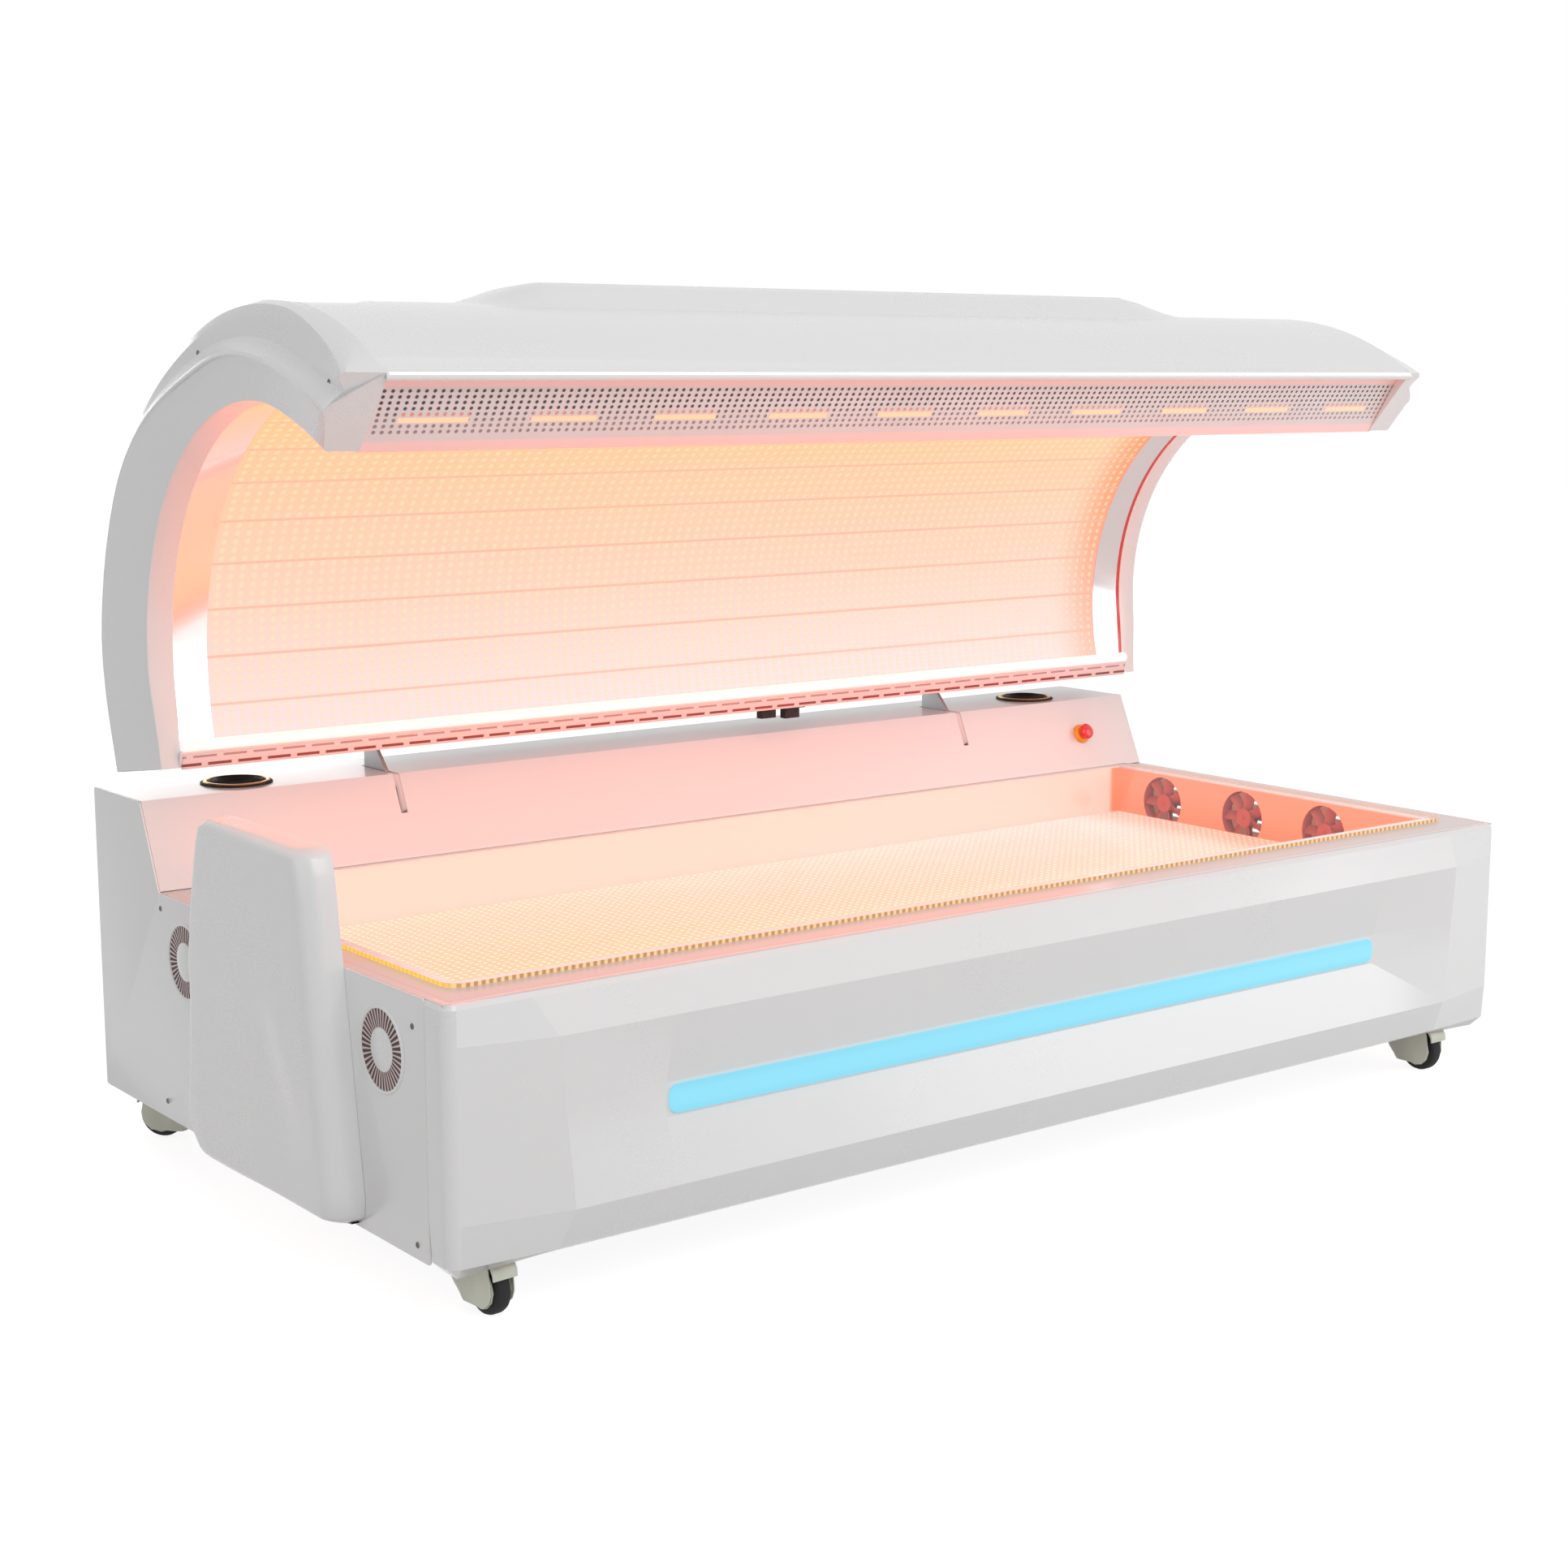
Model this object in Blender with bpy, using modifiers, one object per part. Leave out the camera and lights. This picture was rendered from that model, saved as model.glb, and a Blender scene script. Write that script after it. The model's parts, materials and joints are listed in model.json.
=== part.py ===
"""Red light therapy bed: a base on casters with a lit tub, and a hinged LED canopy.

Metres, +Z up. X runs along the bed with the head end at -X, and -Y is the front, where a
person gets in. The canopy is modelled open, which is its rest pose.
"""
from math import atan2, cos, degrees, pi, radians, sin, tan

import bmesh
import bpy
from mathutils import Matrix, Vector

OBJECT_NAME = "red_light_therapy_bed"

# Fits
GAP = 0.0003  # between pieces that touch
PIN_PLAY = 0.0006  # round a pin that turns
SLIDE_PLAY = 0.0008  # beside a pin that slides in a slot
SEAM = 0.0008  # where the fascia's slanted edge meets the end panels
SHEET_T = 0.003  # sheet of the base and the canopy
MOST_OF_SIDE = 0.45  # of a side that one rounded corner may take

# Base body
BASE_L = 2.120  # over the end panels
BASE_W = 1.106  # from the fascia's corner edges to the back cover
SKIRT_Z = 0.091
RIM_Z = 0.446
DECK_Z = 0.580
DECK_W = 0.178  # from the deck's front edge to the back cover
SLOPE_RUN = 0.060  # the slope's foot stands this far in front of the deck's edge

# Front fascia
RIDGE_PROUD = 0.037
RIDGE_DROP = 0.055
RIDGE_INSET = 0.149
LOWER_RISE = 0.064
LOWER_INSET = 0.171
UNDER_DEPTH = 0.070
UNDER_DROP = 0.008
UNDER_INSET = 0.030
RECESS_DEPTH = 0.027
FASCIA_ROUND = 0.010
STRIP_L = 1.446
STRIP_H = 0.0405
STRIP_T = 0.003
STRIP_Z = 0.267
STRIP_MARGIN = 0.004

# Head end panel, as (y, z) points of its outline
HEAD_T = 0.050
HEAD_WALL = 0.004
HEAD_ROUND = 0.030
HEAD_OPENING_W = 0.270
HEAD_OUTLINE = ((-0.336, 0.098), (0.098, 0.108), (0.134, 0.152), (0.121, 0.410), (0.058, 0.606),
                (-0.268, 0.606))

# End panels, with round slotted vents
PANEL_CHAMFER = 0.012
VENT_Z = 0.355
VENT_FRONT_Y = -0.389
VENT_REAR_Y = 0.255
VENT_INNER_R = 0.026
VENT_OUTER_R = 0.054
VENT_SLOT_W = 0.0045
VENT_SLOTS = 16
LOUVRE_L = 0.090
LOUVRE_H = 0.006
LOUVRE_PITCH = 0.018
LOUVRES = 5

# Tub, acrylic and bed LED boards
TUB_END = 0.075  # from an end panel's outside to the tub's wall
TUB_FRONT = 0.098  # rim width in front of the tub
TUB_BACK = 0.015  # tub's rear wall in front of the slope's foot
TUB_DEPTH = 0.129
TUB_LEDGE = 0.018  # rim that runs on under the slope's foot
ACRYLIC_T = 0.006
ACRYLIC_LAP = 0.025  # how far the sheet lies on the rim at the ends
ACRYLIC_FRONT_LAP = 0.030
ACRYLIC_BACK_GAP = 0.004
ACRYLIC_ROUND = 0.030
BED_BOARDS = 3
BED_BOARD_H = 0.040
BED_BOARD_T = 0.002
BED_BOARD_LEG = 0.003
BED_BOARD_MARGIN = 0.010

# Fans behind the tub's right wall
FAN_YS = (0.180, -0.030, -0.230)
FAN_SIZE = 0.110
FAN_BORE = 0.104
FAN_T = 0.025
FAN_DROP = 0.060  # axis below the rim
FAN_HUB_R = 0.018
FAN_SPIDER_T = 0.005
FAN_SPIDER_W = 0.008
FAN_SHAFT_R = 0.003
FAN_BLADES = 7
FAN_BLADE_T = 0.0016
FAN_BLADE_CHORD = 0.019
FAN_PITCH = 38.0
FAN_TIP_PLAY = 0.002
FAN_ROTOR_T = 0.015

# Frame and casters
FRAME_Z = 0.100  # underside of the ladder frame
BAR = 0.030
CASTER_END = 0.095  # swivels in from the base's ends, front and rear
CASTER_FRONT_IN = 0.092
CASTER_REAR_IN = 0.065
FRAME_END = 0.030
CROSS_XS = (-0.360, 0.360)
POST_FRONT_IN = 0.035  # posts in from the tub's front and rear walls
POST_REAR_IN = 0.050
WHEEL_D = 0.075
WHEEL_W = 0.022
WHEEL_ROUND = 0.005
CASTER_TRAIL = 0.028
STEM_D = 0.012
STEM_H = 0.024
AXLE_D = 0.008
FORK_T = 0.003
FORK_PLAY = 0.0015
FORK_HEAD_R = 0.020
FORK_HEAD_H = 0.012
FORK_EYE_R = 0.028
CASTER_TURNS = {"front_left": -86.0, "front_right": -90.0, "rear_left": 130.0, "rear_right": 35.0}

# Electrics inside the base, as lengths along X, Y and Z
SUPPLY_SIZE = (0.420, 0.200, 0.110)
SUPPLY_X = -0.280
CONTROL_SIZE = (0.260, 0.180, 0.080)
CONTROL_X = 0.300
BOX_ROUND = 0.004
INLET_SIZE = (0.062, 0.030, 0.036)
INLET_SOCKET = (0.027, 0.018, 0.020)
INLET_END = 0.210
INLET_Z = 0.190

# Speakers on the deck and the emergency button on the slope
SPEAKER_END = 0.198  # in from the base's ends and back
SPEAKER_BACK = 0.102
SPEAKER_R = 0.0575
SPEAKER_BARREL_R = 0.045
SPEAKER_LIP = 0.0025
SPEAKER_DEPTH = 0.034
SPEAKER_CONE = 0.014
ESTOP_END = 0.140
ESTOP_DOWN = 0.072  # from the deck's edge, along the slope
ESTOP_COLLAR_R = 0.019
ESTOP_COLLAR_H = 0.008
ESTOP_BARREL_R = 0.011
ESTOP_BARREL_L = 0.026
ESTOP_STEM_R = 0.006
ESTOP_HEAD_R = 0.0155
ESTOP_HEAD_H = 0.013
ESTOP_TRAVEL = 0.004
ESTOP_STEM_L = 0.020

# Canopy hinge and gas struts
PIVOT_BACK = 0.103  # hinge axis in front of the back cover
PIVOT_DOWN = 0.080  # hinge axis below the deck
CLOSING = 40.0  # degrees from open to closed
ARM_X = 0.615
ARM_T = 0.006
ARM_BOSS_R = 0.024
ARM_NECK_REACH = (0.0455, 0.0816)  # front of the neck, in front of and above the hinge axis
ARM_FRONT_UP = (0.014, 0.1147)
ARM_RISE = 0.040
ARM_BACK_W = 0.028  # back of the neck behind the hinge axis
SPINE_FROM = -6.0
SPINE_TO = 112.0
SPINE_STEP = 0.009
HINGE_PIN_R = 0.008
HINGE_PIN_END = 0.004
BRACKET_T = 0.008
BRACKET_W = 0.100
BRACKET_FOOT = 0.050
LEVER_R = 0.060  # the strut's axis stands this far in front of the hinge axis
LEVER_MARGIN = 0.008
STRUT_PIN_R = 0.004
STRUT_R = 0.014
STRUT_FOOT_R = 0.022
STRUT_FOOT_T = 0.006
STRUT_TOP = 0.250  # top of the cylinder above the floor pan
STRUT_FLOOR = 0.020
ROD_R = 0.006
ROD_REACH = 0.190  # rod below its fork, at rest
ROD_CHEEK_T = 0.005
ROD_CHEEK_PLAY = 0.001
ROD_CHEEK_W = 0.020
ROD_CHEEK_UP = 0.009  # fork above its pin
ROD_CROWN_DOWN = 0.024  # fork's crown below its pin
ROD_CROWN_T = 0.008
SLOT_PLAY = 0.003  # beside the arm in the deck
SLOT_DOWN = 0.062  # how far the deck slot runs down the slope
SLOT_BACK = 0.110  # how far it runs back from the deck's edge

# Canopy section: three arcs about their own centres, degrees from +Y towards +Z
SHELL_BACK = 0.602  # centre in front of the back cover
SHELL_UP = 0.187  # centre above the deck
SHELL_R = 0.562
SHELL_FROM = -16.4
SHELL_TO = 124.5
SHELL_STEPS = 28
NOSE_FOLDS = ((0.005, -0.011), (0.024, -0.012))  # from the shell's front edge, in Y and Z
LED_SHIFT = (-0.023, 0.018)  # centre of the LED arc from the shell's centre
LED_R = 0.422
LED_FROM = -18.5
LED_TO = 121.0
LED_BOARDS = 7
LED_T = 0.002
LED_SEAM = 0.0005
CAP_SHIFT = (0.001, 0.039)
CAP_R = 0.385
CAP_FROM = -10.0
CAP_TO = 122.0
CAP_NOSE = ((-0.297, 0.437), (-0.300, 0.417), (-0.265, 0.371), (-0.225, 0.361))  # from the shell's centre
CAP_FOOT = (0.371, -0.133)

# Canopy pieces
CANOPY_END = 0.045  # the caps' seams in from the base's ends
CAP_T = 0.040
CAP_WALL = 0.004
CAP_ROUND = 0.022
CAP_RIM = 0.030
LED_END = 0.111  # the boards' ends in from the base's ends
REFLECTOR_T = 0.002
REFLECTOR_TRIM = 3.0
GRILLE_H = 0.098
GRILLE_LEAN = 64.6
GRILLE_WINDOWS = 10
GRILLE_WINDOW_L = 0.110
GRILLE_WINDOW_H = 0.010
GRILLE_WINDOW_DOWN = 0.060
RAIL_FRONT = 0.232  # rail's front edge in front of the back cover
RAIL_FRONT_UP = 0.057  # above the deck
RAIL_TO = -16.0  # where the rail turns up inside the shell
RAIL_FLANGE_TO = -8.0
RAIL_LIP = 0.023
RAIL_LIP_LEAN = 0.007
RAIL_SLOT_PLAY = 0.004
STOP_XS = (0.205, 0.280)
STOP_L = 0.034
STOP_W = 0.022
STOP_BACK = 0.093  # middle of the stops in front of the back cover
STOP_H = 0.0073
FAIRING_L = 1.482
FAIRING_TOP_L = 1.170
FAIRING_H = 0.0335
FAIRING_EDGE = 0.003  # height left at its two ends
FAIRING_FLANK = 0.050
FAIRING_FIRST = 15  # facets of the shell that it lies on
FAIRING_LAST = 23

# Places worked out from the sizes above
HALF_L = BASE_L / 2
FRONT_Y = -BASE_W / 2
REAR_Y = BASE_W / 2
INNER_L = HALF_L - SHEET_T - GAP
TUB_L = BASE_L - 2 * TUB_END
CANOPY_L = BASE_L - 2 * CANOPY_END
LED_L = BASE_L - 2 * LED_END
CASTER_X = HALF_L - CASTER_END
CASTER_FRONT = FRONT_Y + CASTER_FRONT_IN
CASTER_REAR = REAR_Y - CASTER_REAR_IN
SPEAKER_X = HALF_L - SPEAKER_END
SPEAKER_Y = REAR_Y - SPEAKER_BACK
ESTOP_X = HALF_L - ESTOP_END
INLET_X = HALF_L - INLET_END
DECK_Y = REAR_Y - DECK_W
FOOT_Y = DECK_Y - SLOPE_RUN
TUB_Y0 = FRONT_Y + TUB_FRONT
TUB_Y1 = FOOT_Y - TUB_BACK
TUB_Z = RIM_Z - TUB_DEPTH
FRAME_TOP = FRAME_Z + BAR
PAN_Z = FRAME_TOP + GAP
PAN_TOP = PAN_Z + SHEET_T
PIVOT = (REAR_Y - PIVOT_BACK, DECK_Z - PIVOT_DOWN)
TILT = radians(CLOSING / 2)
SHELL_C = (REAR_Y - SHELL_BACK, DECK_Z + SHELL_UP)
LED_C = (SHELL_C[0] + LED_SHIFT[0], SHELL_C[1] + LED_SHIFT[1])
CAP_C = (SHELL_C[0] + CAP_SHIFT[0], SHELL_C[1] + CAP_SHIFT[1])
LED_STEP = (LED_TO - LED_FROM) / (2 * LED_BOARDS)
LED_BACK_R = LED_R + LED_T / cos(radians(LED_STEP / 2))
SHELL_FACET = radians((SHELL_TO - SHELL_FROM) / SHELL_STEPS)
SHELL_IN_R = (SHELL_R - SHEET_T) * cos(SHELL_FACET / 2) - GAP  # what lies against the shell's inside
RAIL_EDGE = (REAR_Y - RAIL_FRONT, DECK_Z + RAIL_FRONT_UP)
ARM_NECK = (PIVOT[0] - ARM_NECK_REACH[0], PIVOT[1] + ARM_NECK_REACH[1])
ARM_FRONT = (PIVOT[0] - ARM_FRONT_UP[0], PIVOT[1] + ARM_FRONT_UP[1])
ARM_BACK = PIVOT[0] + ARM_BACK_W
STRUT_Y = PIVOT[0] - LEVER_R
STRUT_PIN_Z = PIVOT[1] + LEVER_R * tan(TILT)
SLOPE_TURN = atan2(DECK_Z - RIM_Z, SLOPE_RUN)

# Finishes: colour, roughness, metallic
WHITE = ((0.80, 0.80, 0.80), 0.25, 0.0)
PANEL_WHITE = ((0.72, 0.72, 0.72), 0.35, 0.0)
PINK_WHITE = ((0.86, 0.62, 0.58), 0.30, 0.0)
FRAME_GREY = ((0.30, 0.31, 0.32), 0.45, 0.0)
STEEL = ((0.55, 0.56, 0.57), 0.30, 1.0)
MIRROR = ((0.90, 0.90, 0.90), 0.06, 1.0)
BLACK = ((0.02, 0.02, 0.02), 0.45, 0.0)
RUBBER = ((0.015, 0.015, 0.015), 0.70, 0.0)
FORK_GREEN = ((0.44, 0.47, 0.38), 0.40, 0.0)
ACRYLIC = ((0.95, 0.80, 0.72), 0.05, 0.0)
LED_SALMON = ((1.00, 0.55, 0.33), 0.40, 0.0)
CORAL = ((1.00, 0.38, 0.27), 0.40, 0.0)
STRIP_BLUE = ((0.26, 0.73, 0.92), 0.30, 0.0)
FAN_BROWN = ((0.22, 0.06, 0.05), 0.50, 0.0)
RED = ((0.70, 0.03, 0.02), 0.30, 0.0)
AMBER = ((0.90, 0.40, 0.05), 0.35, 0.0)

# Turns that lay an outline across X as (y, z), across Y as (x, z) or across Z as (x, y)
TURNS = {
    "X": Matrix(((0, 0, 1), (1, 0, 0), (0, 1, 0))),
    "Y": Matrix(((1, 0, 0), (0, 0, -1), (0, 1, 0))),
    "Z": Matrix.Identity(3),
}
SIDES = (("left", -1), ("right", 1))


# Scene and object helpers

def clear_scene():
    for old in list(bpy.data.objects):
        bpy.data.objects.remove(old, do_unlink=True)


def collection(name):
    made = bpy.data.collections.new(name)
    bpy.context.scene.collection.children.link(made)
    return made


def empty(name, place, parent=None, own_frame=False):
    """An axis for what moves; its pieces are placed in the bed's frame or in its own."""
    made = bpy.data.objects.new(name, None)
    PARTS.objects.link(made)
    made.parent = parent
    made.location = Vector(place) - Vector(parent["place"] if parent else (0, 0, 0))
    made["place"] = (0, 0, 0) if own_frame else place
    return made


def finish(name, look):
    colour, roughness, metallic = look
    made = bpy.data.materials.new(name)
    made.use_nodes = True
    made.diffuse_color = (*colour, 1)
    shader = made.node_tree.nodes["Principled BSDF"]
    shader.inputs["Base Color"].default_value = (*colour, 1)
    shader.inputs["Roughness"].default_value = roughness
    shader.inputs["Metallic"].default_value = metallic
    return made


def add(name, mesh, place, parent, look=None, turn=None):
    """Put a mesh in the scene at a place in the bed's frame; with no look it is a cutter."""
    made = bpy.data.objects.new(name, mesh)
    made.parent = parent
    made.location = Vector(place) - Vector(parent["place"])
    if turn is not None:
        made.rotation_euler = turn.to_euler()
    if look is None:
        CUTTERS.objects.link(made)
        made.hide_render = True
        made.display_type = "WIRE"
    else:
        PARTS.objects.link(made)
        mesh.materials.append(finish(name, look))
    return made


def boolean(piece, operation, others):
    for other in others:
        step = piece.modifiers.new(operation.title(), "BOOLEAN")
        step.operation = operation
        step.solver = "EXACT"
        step.object = other
    return piece


def cut(piece, *others):
    return boolean(piece, "DIFFERENCE", others)


def join(piece, *others):
    return boolean(piece, "UNION", others)


def keep(piece, *others):
    return boolean(piece, "INTERSECT", others)


def bevel(piece, width, segments=2, angle=30.0):
    step = piece.modifiers.new("Round", "BEVEL")
    step.width = width
    step.segments = segments
    step.limit_method = "ANGLE"
    step.angle_limit = radians(angle)
    return piece


def thicken(piece, thickness):
    step = piece.modifiers.new("Thickness", "SOLIDIFY")
    step.thickness = thickness
    step.offset = -1
    step.use_even_offset = True
    step.use_quality_normals = True
    return piece


# Outlines

def on_arc(centre, radius, angle):
    return (centre[0] + radius * cos(radians(angle)), centre[1] + radius * sin(radians(angle)))


def arc(centre, radius, start, end, steps):
    return [on_arc(centre, radius, start + (end - start) * i / steps) for i in range(steps + 1)]


def circle(centre, radius, steps=24):
    return arc(centre, radius, 0, 360, steps)[:-1]


def rectangle(low, high):
    return [(low[0], low[1]), (high[0], low[1]), (high[0], high[1]), (low[0], high[1])]


def rounded(points, radius, steps=4):
    """The closed outline with each corner drawn as a curve that starts a radius before it."""
    outline = []
    corners = [Vector(point) for point in points]
    for i, corner in enumerate(corners):
        before = corners[i - 1] - corner
        after = corners[(i + 1) % len(corners)] - corner
        start = corner + before * min(radius / before.length, MOST_OF_SIDE)
        end = corner + after * min(radius / after.length, MOST_OF_SIDE)
        for k in range(steps + 1):
            t = k / steps
            outline.append(tuple((1 - t) ** 2 * start + 2 * t * (1 - t) * corner + t * t * end))
    return outline


# Solids

def mesh_of_outlines(name, outlines, thickness):
    """A filled 2D curve, extruded both ways and made a mesh with its caps welded on."""
    curve = bpy.data.curves.new(name, "CURVE")
    curve.dimensions = "2D"
    curve.fill_mode = "BOTH"
    curve.extrude = thickness / 2
    for outline in outlines:
        spline = curve.splines.new("POLY")
        spline.points.add(len(outline) - 1)
        for point, (u, v) in zip(spline.points, outline):
            point.co = (u, v, 0, 1)
        spline.use_cyclic_u = True
    drawn = bpy.data.objects.new(name, curve)
    bpy.context.scene.collection.objects.link(drawn)
    graph = bpy.context.evaluated_depsgraph_get()
    mesh = bpy.data.meshes.new_from_object(drawn.evaluated_get(graph))
    bpy.data.objects.remove(drawn, do_unlink=True)
    bpy.data.curves.remove(curve)
    shape = bmesh.new()
    shape.from_mesh(mesh)
    bmesh.ops.remove_doubles(shape, verts=shape.verts, dist=0.00001)
    bmesh.ops.recalc_face_normals(shape, faces=shape.faces)
    shape.to_mesh(mesh)
    shape.free()
    mesh.materials.clear()
    return mesh


def flat(name, outline, axis, low, high, parent, look=None, holes=()):
    """A plate between two places on an axis, cut to an outline with holes."""
    mesh = mesh_of_outlines(name, [outline, *holes], high - low)
    middle = (low + high) / 2
    place = Vector((axis == "X", axis == "Y", axis == "Z")) * middle
    return add(name, mesh, place, parent, look, TURNS[axis])


def box(name, low, high, parent, look=None):
    size = Vector(high) - Vector(low)
    mesh = bpy.data.meshes.new(name)
    shape = bmesh.new()
    bmesh.ops.create_cube(shape, size=1, matrix=Matrix.Diagonal((*size, 1)))
    shape.to_mesh(mesh)
    shape.free()
    return add(name, mesh, (Vector(high) + Vector(low)) / 2, parent, look)


def rod(name, start, end, radius, parent, look=None, sides=16):
    """A round bar between two places."""
    start, end = Vector(start), Vector(end)
    mesh = bpy.data.meshes.new(name)
    shape = bmesh.new()
    bmesh.ops.create_cone(shape, cap_ends=True, segments=sides, radius1=radius, radius2=radius,
                          depth=(end - start).length)
    shape.to_mesh(mesh)
    shape.free()
    turn = (end - start).to_track_quat("Z", "Y").to_matrix()
    return add(name, mesh, (start + end) / 2, parent, look, turn)


def turned(name, profile, place, parent, look=None, turn=None, steps=32, ring=False):
    """A turned piece: (radius, height) points down its outer side; a ring closes on itself."""
    mesh = bpy.data.meshes.new(name)
    edges = [(i, i + 1) for i in range(len(profile) - 1)]
    if ring:
        edges.append((len(profile) - 1, 0))
    mesh.from_pydata([(radius, 0, height) for radius, height in profile], edges, [])
    piece = add(name, mesh, place, parent, look, turn)
    step = piece.modifiers.new("Turn", "SCREW")
    step.steps = steps
    step.render_steps = steps
    step.use_merge_vertices = True
    step.merge_threshold = 0.00001
    return piece


def skin(name, rows, parent, look=None):
    """An open surface through rows of places; its outside is to the right of each row's run."""
    shape = bmesh.new()
    old = None
    for row in rows:
        new = [shape.verts.new(place) for place in row]
        if old:
            for i in range(len(new) - 1):
                shape.faces.new((old[i], old[i + 1], new[i + 1], new[i]))
        old = new
    mesh = bpy.data.meshes.new(name)
    shape.to_mesh(mesh)
    shape.free()
    return add(name, mesh, (0, 0, 0), parent, look)


def sheet(name, profile, low, high, thickness, parent, look):
    """Sheet folded along a (y, z) profile and run along X; its thickness lies on the left."""
    shape = bmesh.new()
    bends = [shape.verts.new((low, y, z)) for y, z in profile]
    edges = [shape.edges.new(pair) for pair in zip(bends, bends[1:])]
    drawn = bmesh.ops.extrude_edge_only(shape, edges=edges)["geom"]
    ends = [item for item in drawn if isinstance(item, bmesh.types.BMVert)]
    bmesh.ops.translate(shape, verts=ends, vec=(high - low, 0, 0))
    shape.normal_update()
    run = Vector((0, profile[1][0] - profile[0][0], profile[1][1] - profile[0][1]))
    first = next(face for face in shape.faces if {bends[0], bends[1]} <= set(face.verts))
    if first.normal.dot(run.cross(Vector((1, 0, 0)))) < 0:
        bmesh.ops.reverse_faces(shape, faces=shape.faces)
    mesh = bpy.data.meshes.new(name)
    shape.to_mesh(mesh)
    shape.free()
    return thicken(add(name, mesh, (0, 0, 0), parent, look), thickness)


# Base frame, floor pan and casters

def make_frame(root):
    """Ladder of square bar with posts under the tub, bored for the caster stems."""
    half, end = BAR / 2, CASTER_X + FRAME_END
    front, rear = CASTER_FRONT, CASTER_REAR
    frame = box("base_frame", (-end, front - half, FRAME_Z), (end, front + half, FRAME_TOP), root, FRAME_GREY)
    join(frame, box("frame_rear_rail", (-end, rear - half, FRAME_Z), (end, rear + half, FRAME_TOP), root))
    for x in (-CASTER_X, *CROSS_XS, CASTER_X):
        join(frame, box("frame_cross", (x - half, front, FRAME_Z), (x + half, rear, FRAME_TOP), root))
    for x in (-CASTER_X, CASTER_X):
        for y in (TUB_Y0 + POST_FRONT_IN, TUB_Y1 - POST_REAR_IN):
            low = (x - half, y - half, FRAME_TOP - half)
            high = (x + half, y + half, TUB_Z - SHEET_T - GAP)
            join(frame, box("frame_post", low, high, root))
        for y in (front, rear):
            bore = rod("stem_bore", (x, y, FRAME_Z - half), (x, y, FRAME_Z + STEM_H + PIN_PLAY),
                       STEM_D / 2 + PIN_PLAY, root)
            cut(frame, bore)


def make_floor_pan(root):
    half = CASTER_X - BAR / 2 - GAP
    box("floor_pan", (-half, CASTER_FRONT, PAN_Z), (half, CASTER_REAR, PAN_TOP), root, FRAME_GREY)


def make_caster(root, corner, x, y):
    """A stem caster: its fork turns in the frame and its wheel turns on the fork's axle."""
    top = FRAME_Z - GAP
    swivel = empty("caster_swivel_" + corner, (x, y, top), root, True)
    swivel.rotation_euler.z = radians(CASTER_TURNS[corner])
    stem, axle_z = STEM_D / 2, WHEEL_D / 2 - top
    inner = WHEEL_W / 2 + FORK_PLAY
    outer = inner + FORK_T
    head = [(0, STEM_H), (stem, STEM_H), (stem, 0), (FORK_HEAD_R, 0), (FORK_HEAD_R, -FORK_HEAD_H),
            (0, -FORK_HEAD_H)]
    fork = turned("caster_fork_" + corner, head, (0, 0, 0), swivel, FORK_GREEN, steps=16)
    bridge_top = -FORK_HEAD_H / 2
    join(fork, box("fork_bridge", (-FORK_HEAD_R, -outer, -FORK_HEAD_H - FORK_T),
                   (FORK_HEAD_R, outer, bridge_top), swivel))
    eye = arc((CASTER_TRAIL, axle_z), FORK_EYE_R, -150, 30, 6)
    cheek = [(-FORK_HEAD_R, bridge_top - FORK_T), *eye, (FORK_HEAD_R, bridge_top - FORK_T)]
    for low in (-outer, inner):
        join(fork, flat("fork_cheek", cheek, "Y", low, low + FORK_T, swivel))
    reach = outer + FORK_T / 2
    join(fork, rod("fork_axle", (CASTER_TRAIL, -reach, axle_z), (CASTER_TRAIL, reach, axle_z), AXLE_D / 2,
                   swivel))
    radius, half, bore = WHEEL_D / 2, WHEEL_W / 2, AXLE_D / 2 + PIN_PLAY
    rim = [(bore, half), (radius - WHEEL_ROUND, half), (radius, half - WHEEL_ROUND),
           (radius, WHEEL_ROUND - half), (radius - WHEEL_ROUND, -half), (bore, -half)]
    turned("caster_wheel_" + corner, rim, (CASTER_TRAIL, 0, axle_z), swivel, RUBBER, TURNS["Y"], 28, True)


# Base covers

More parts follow.
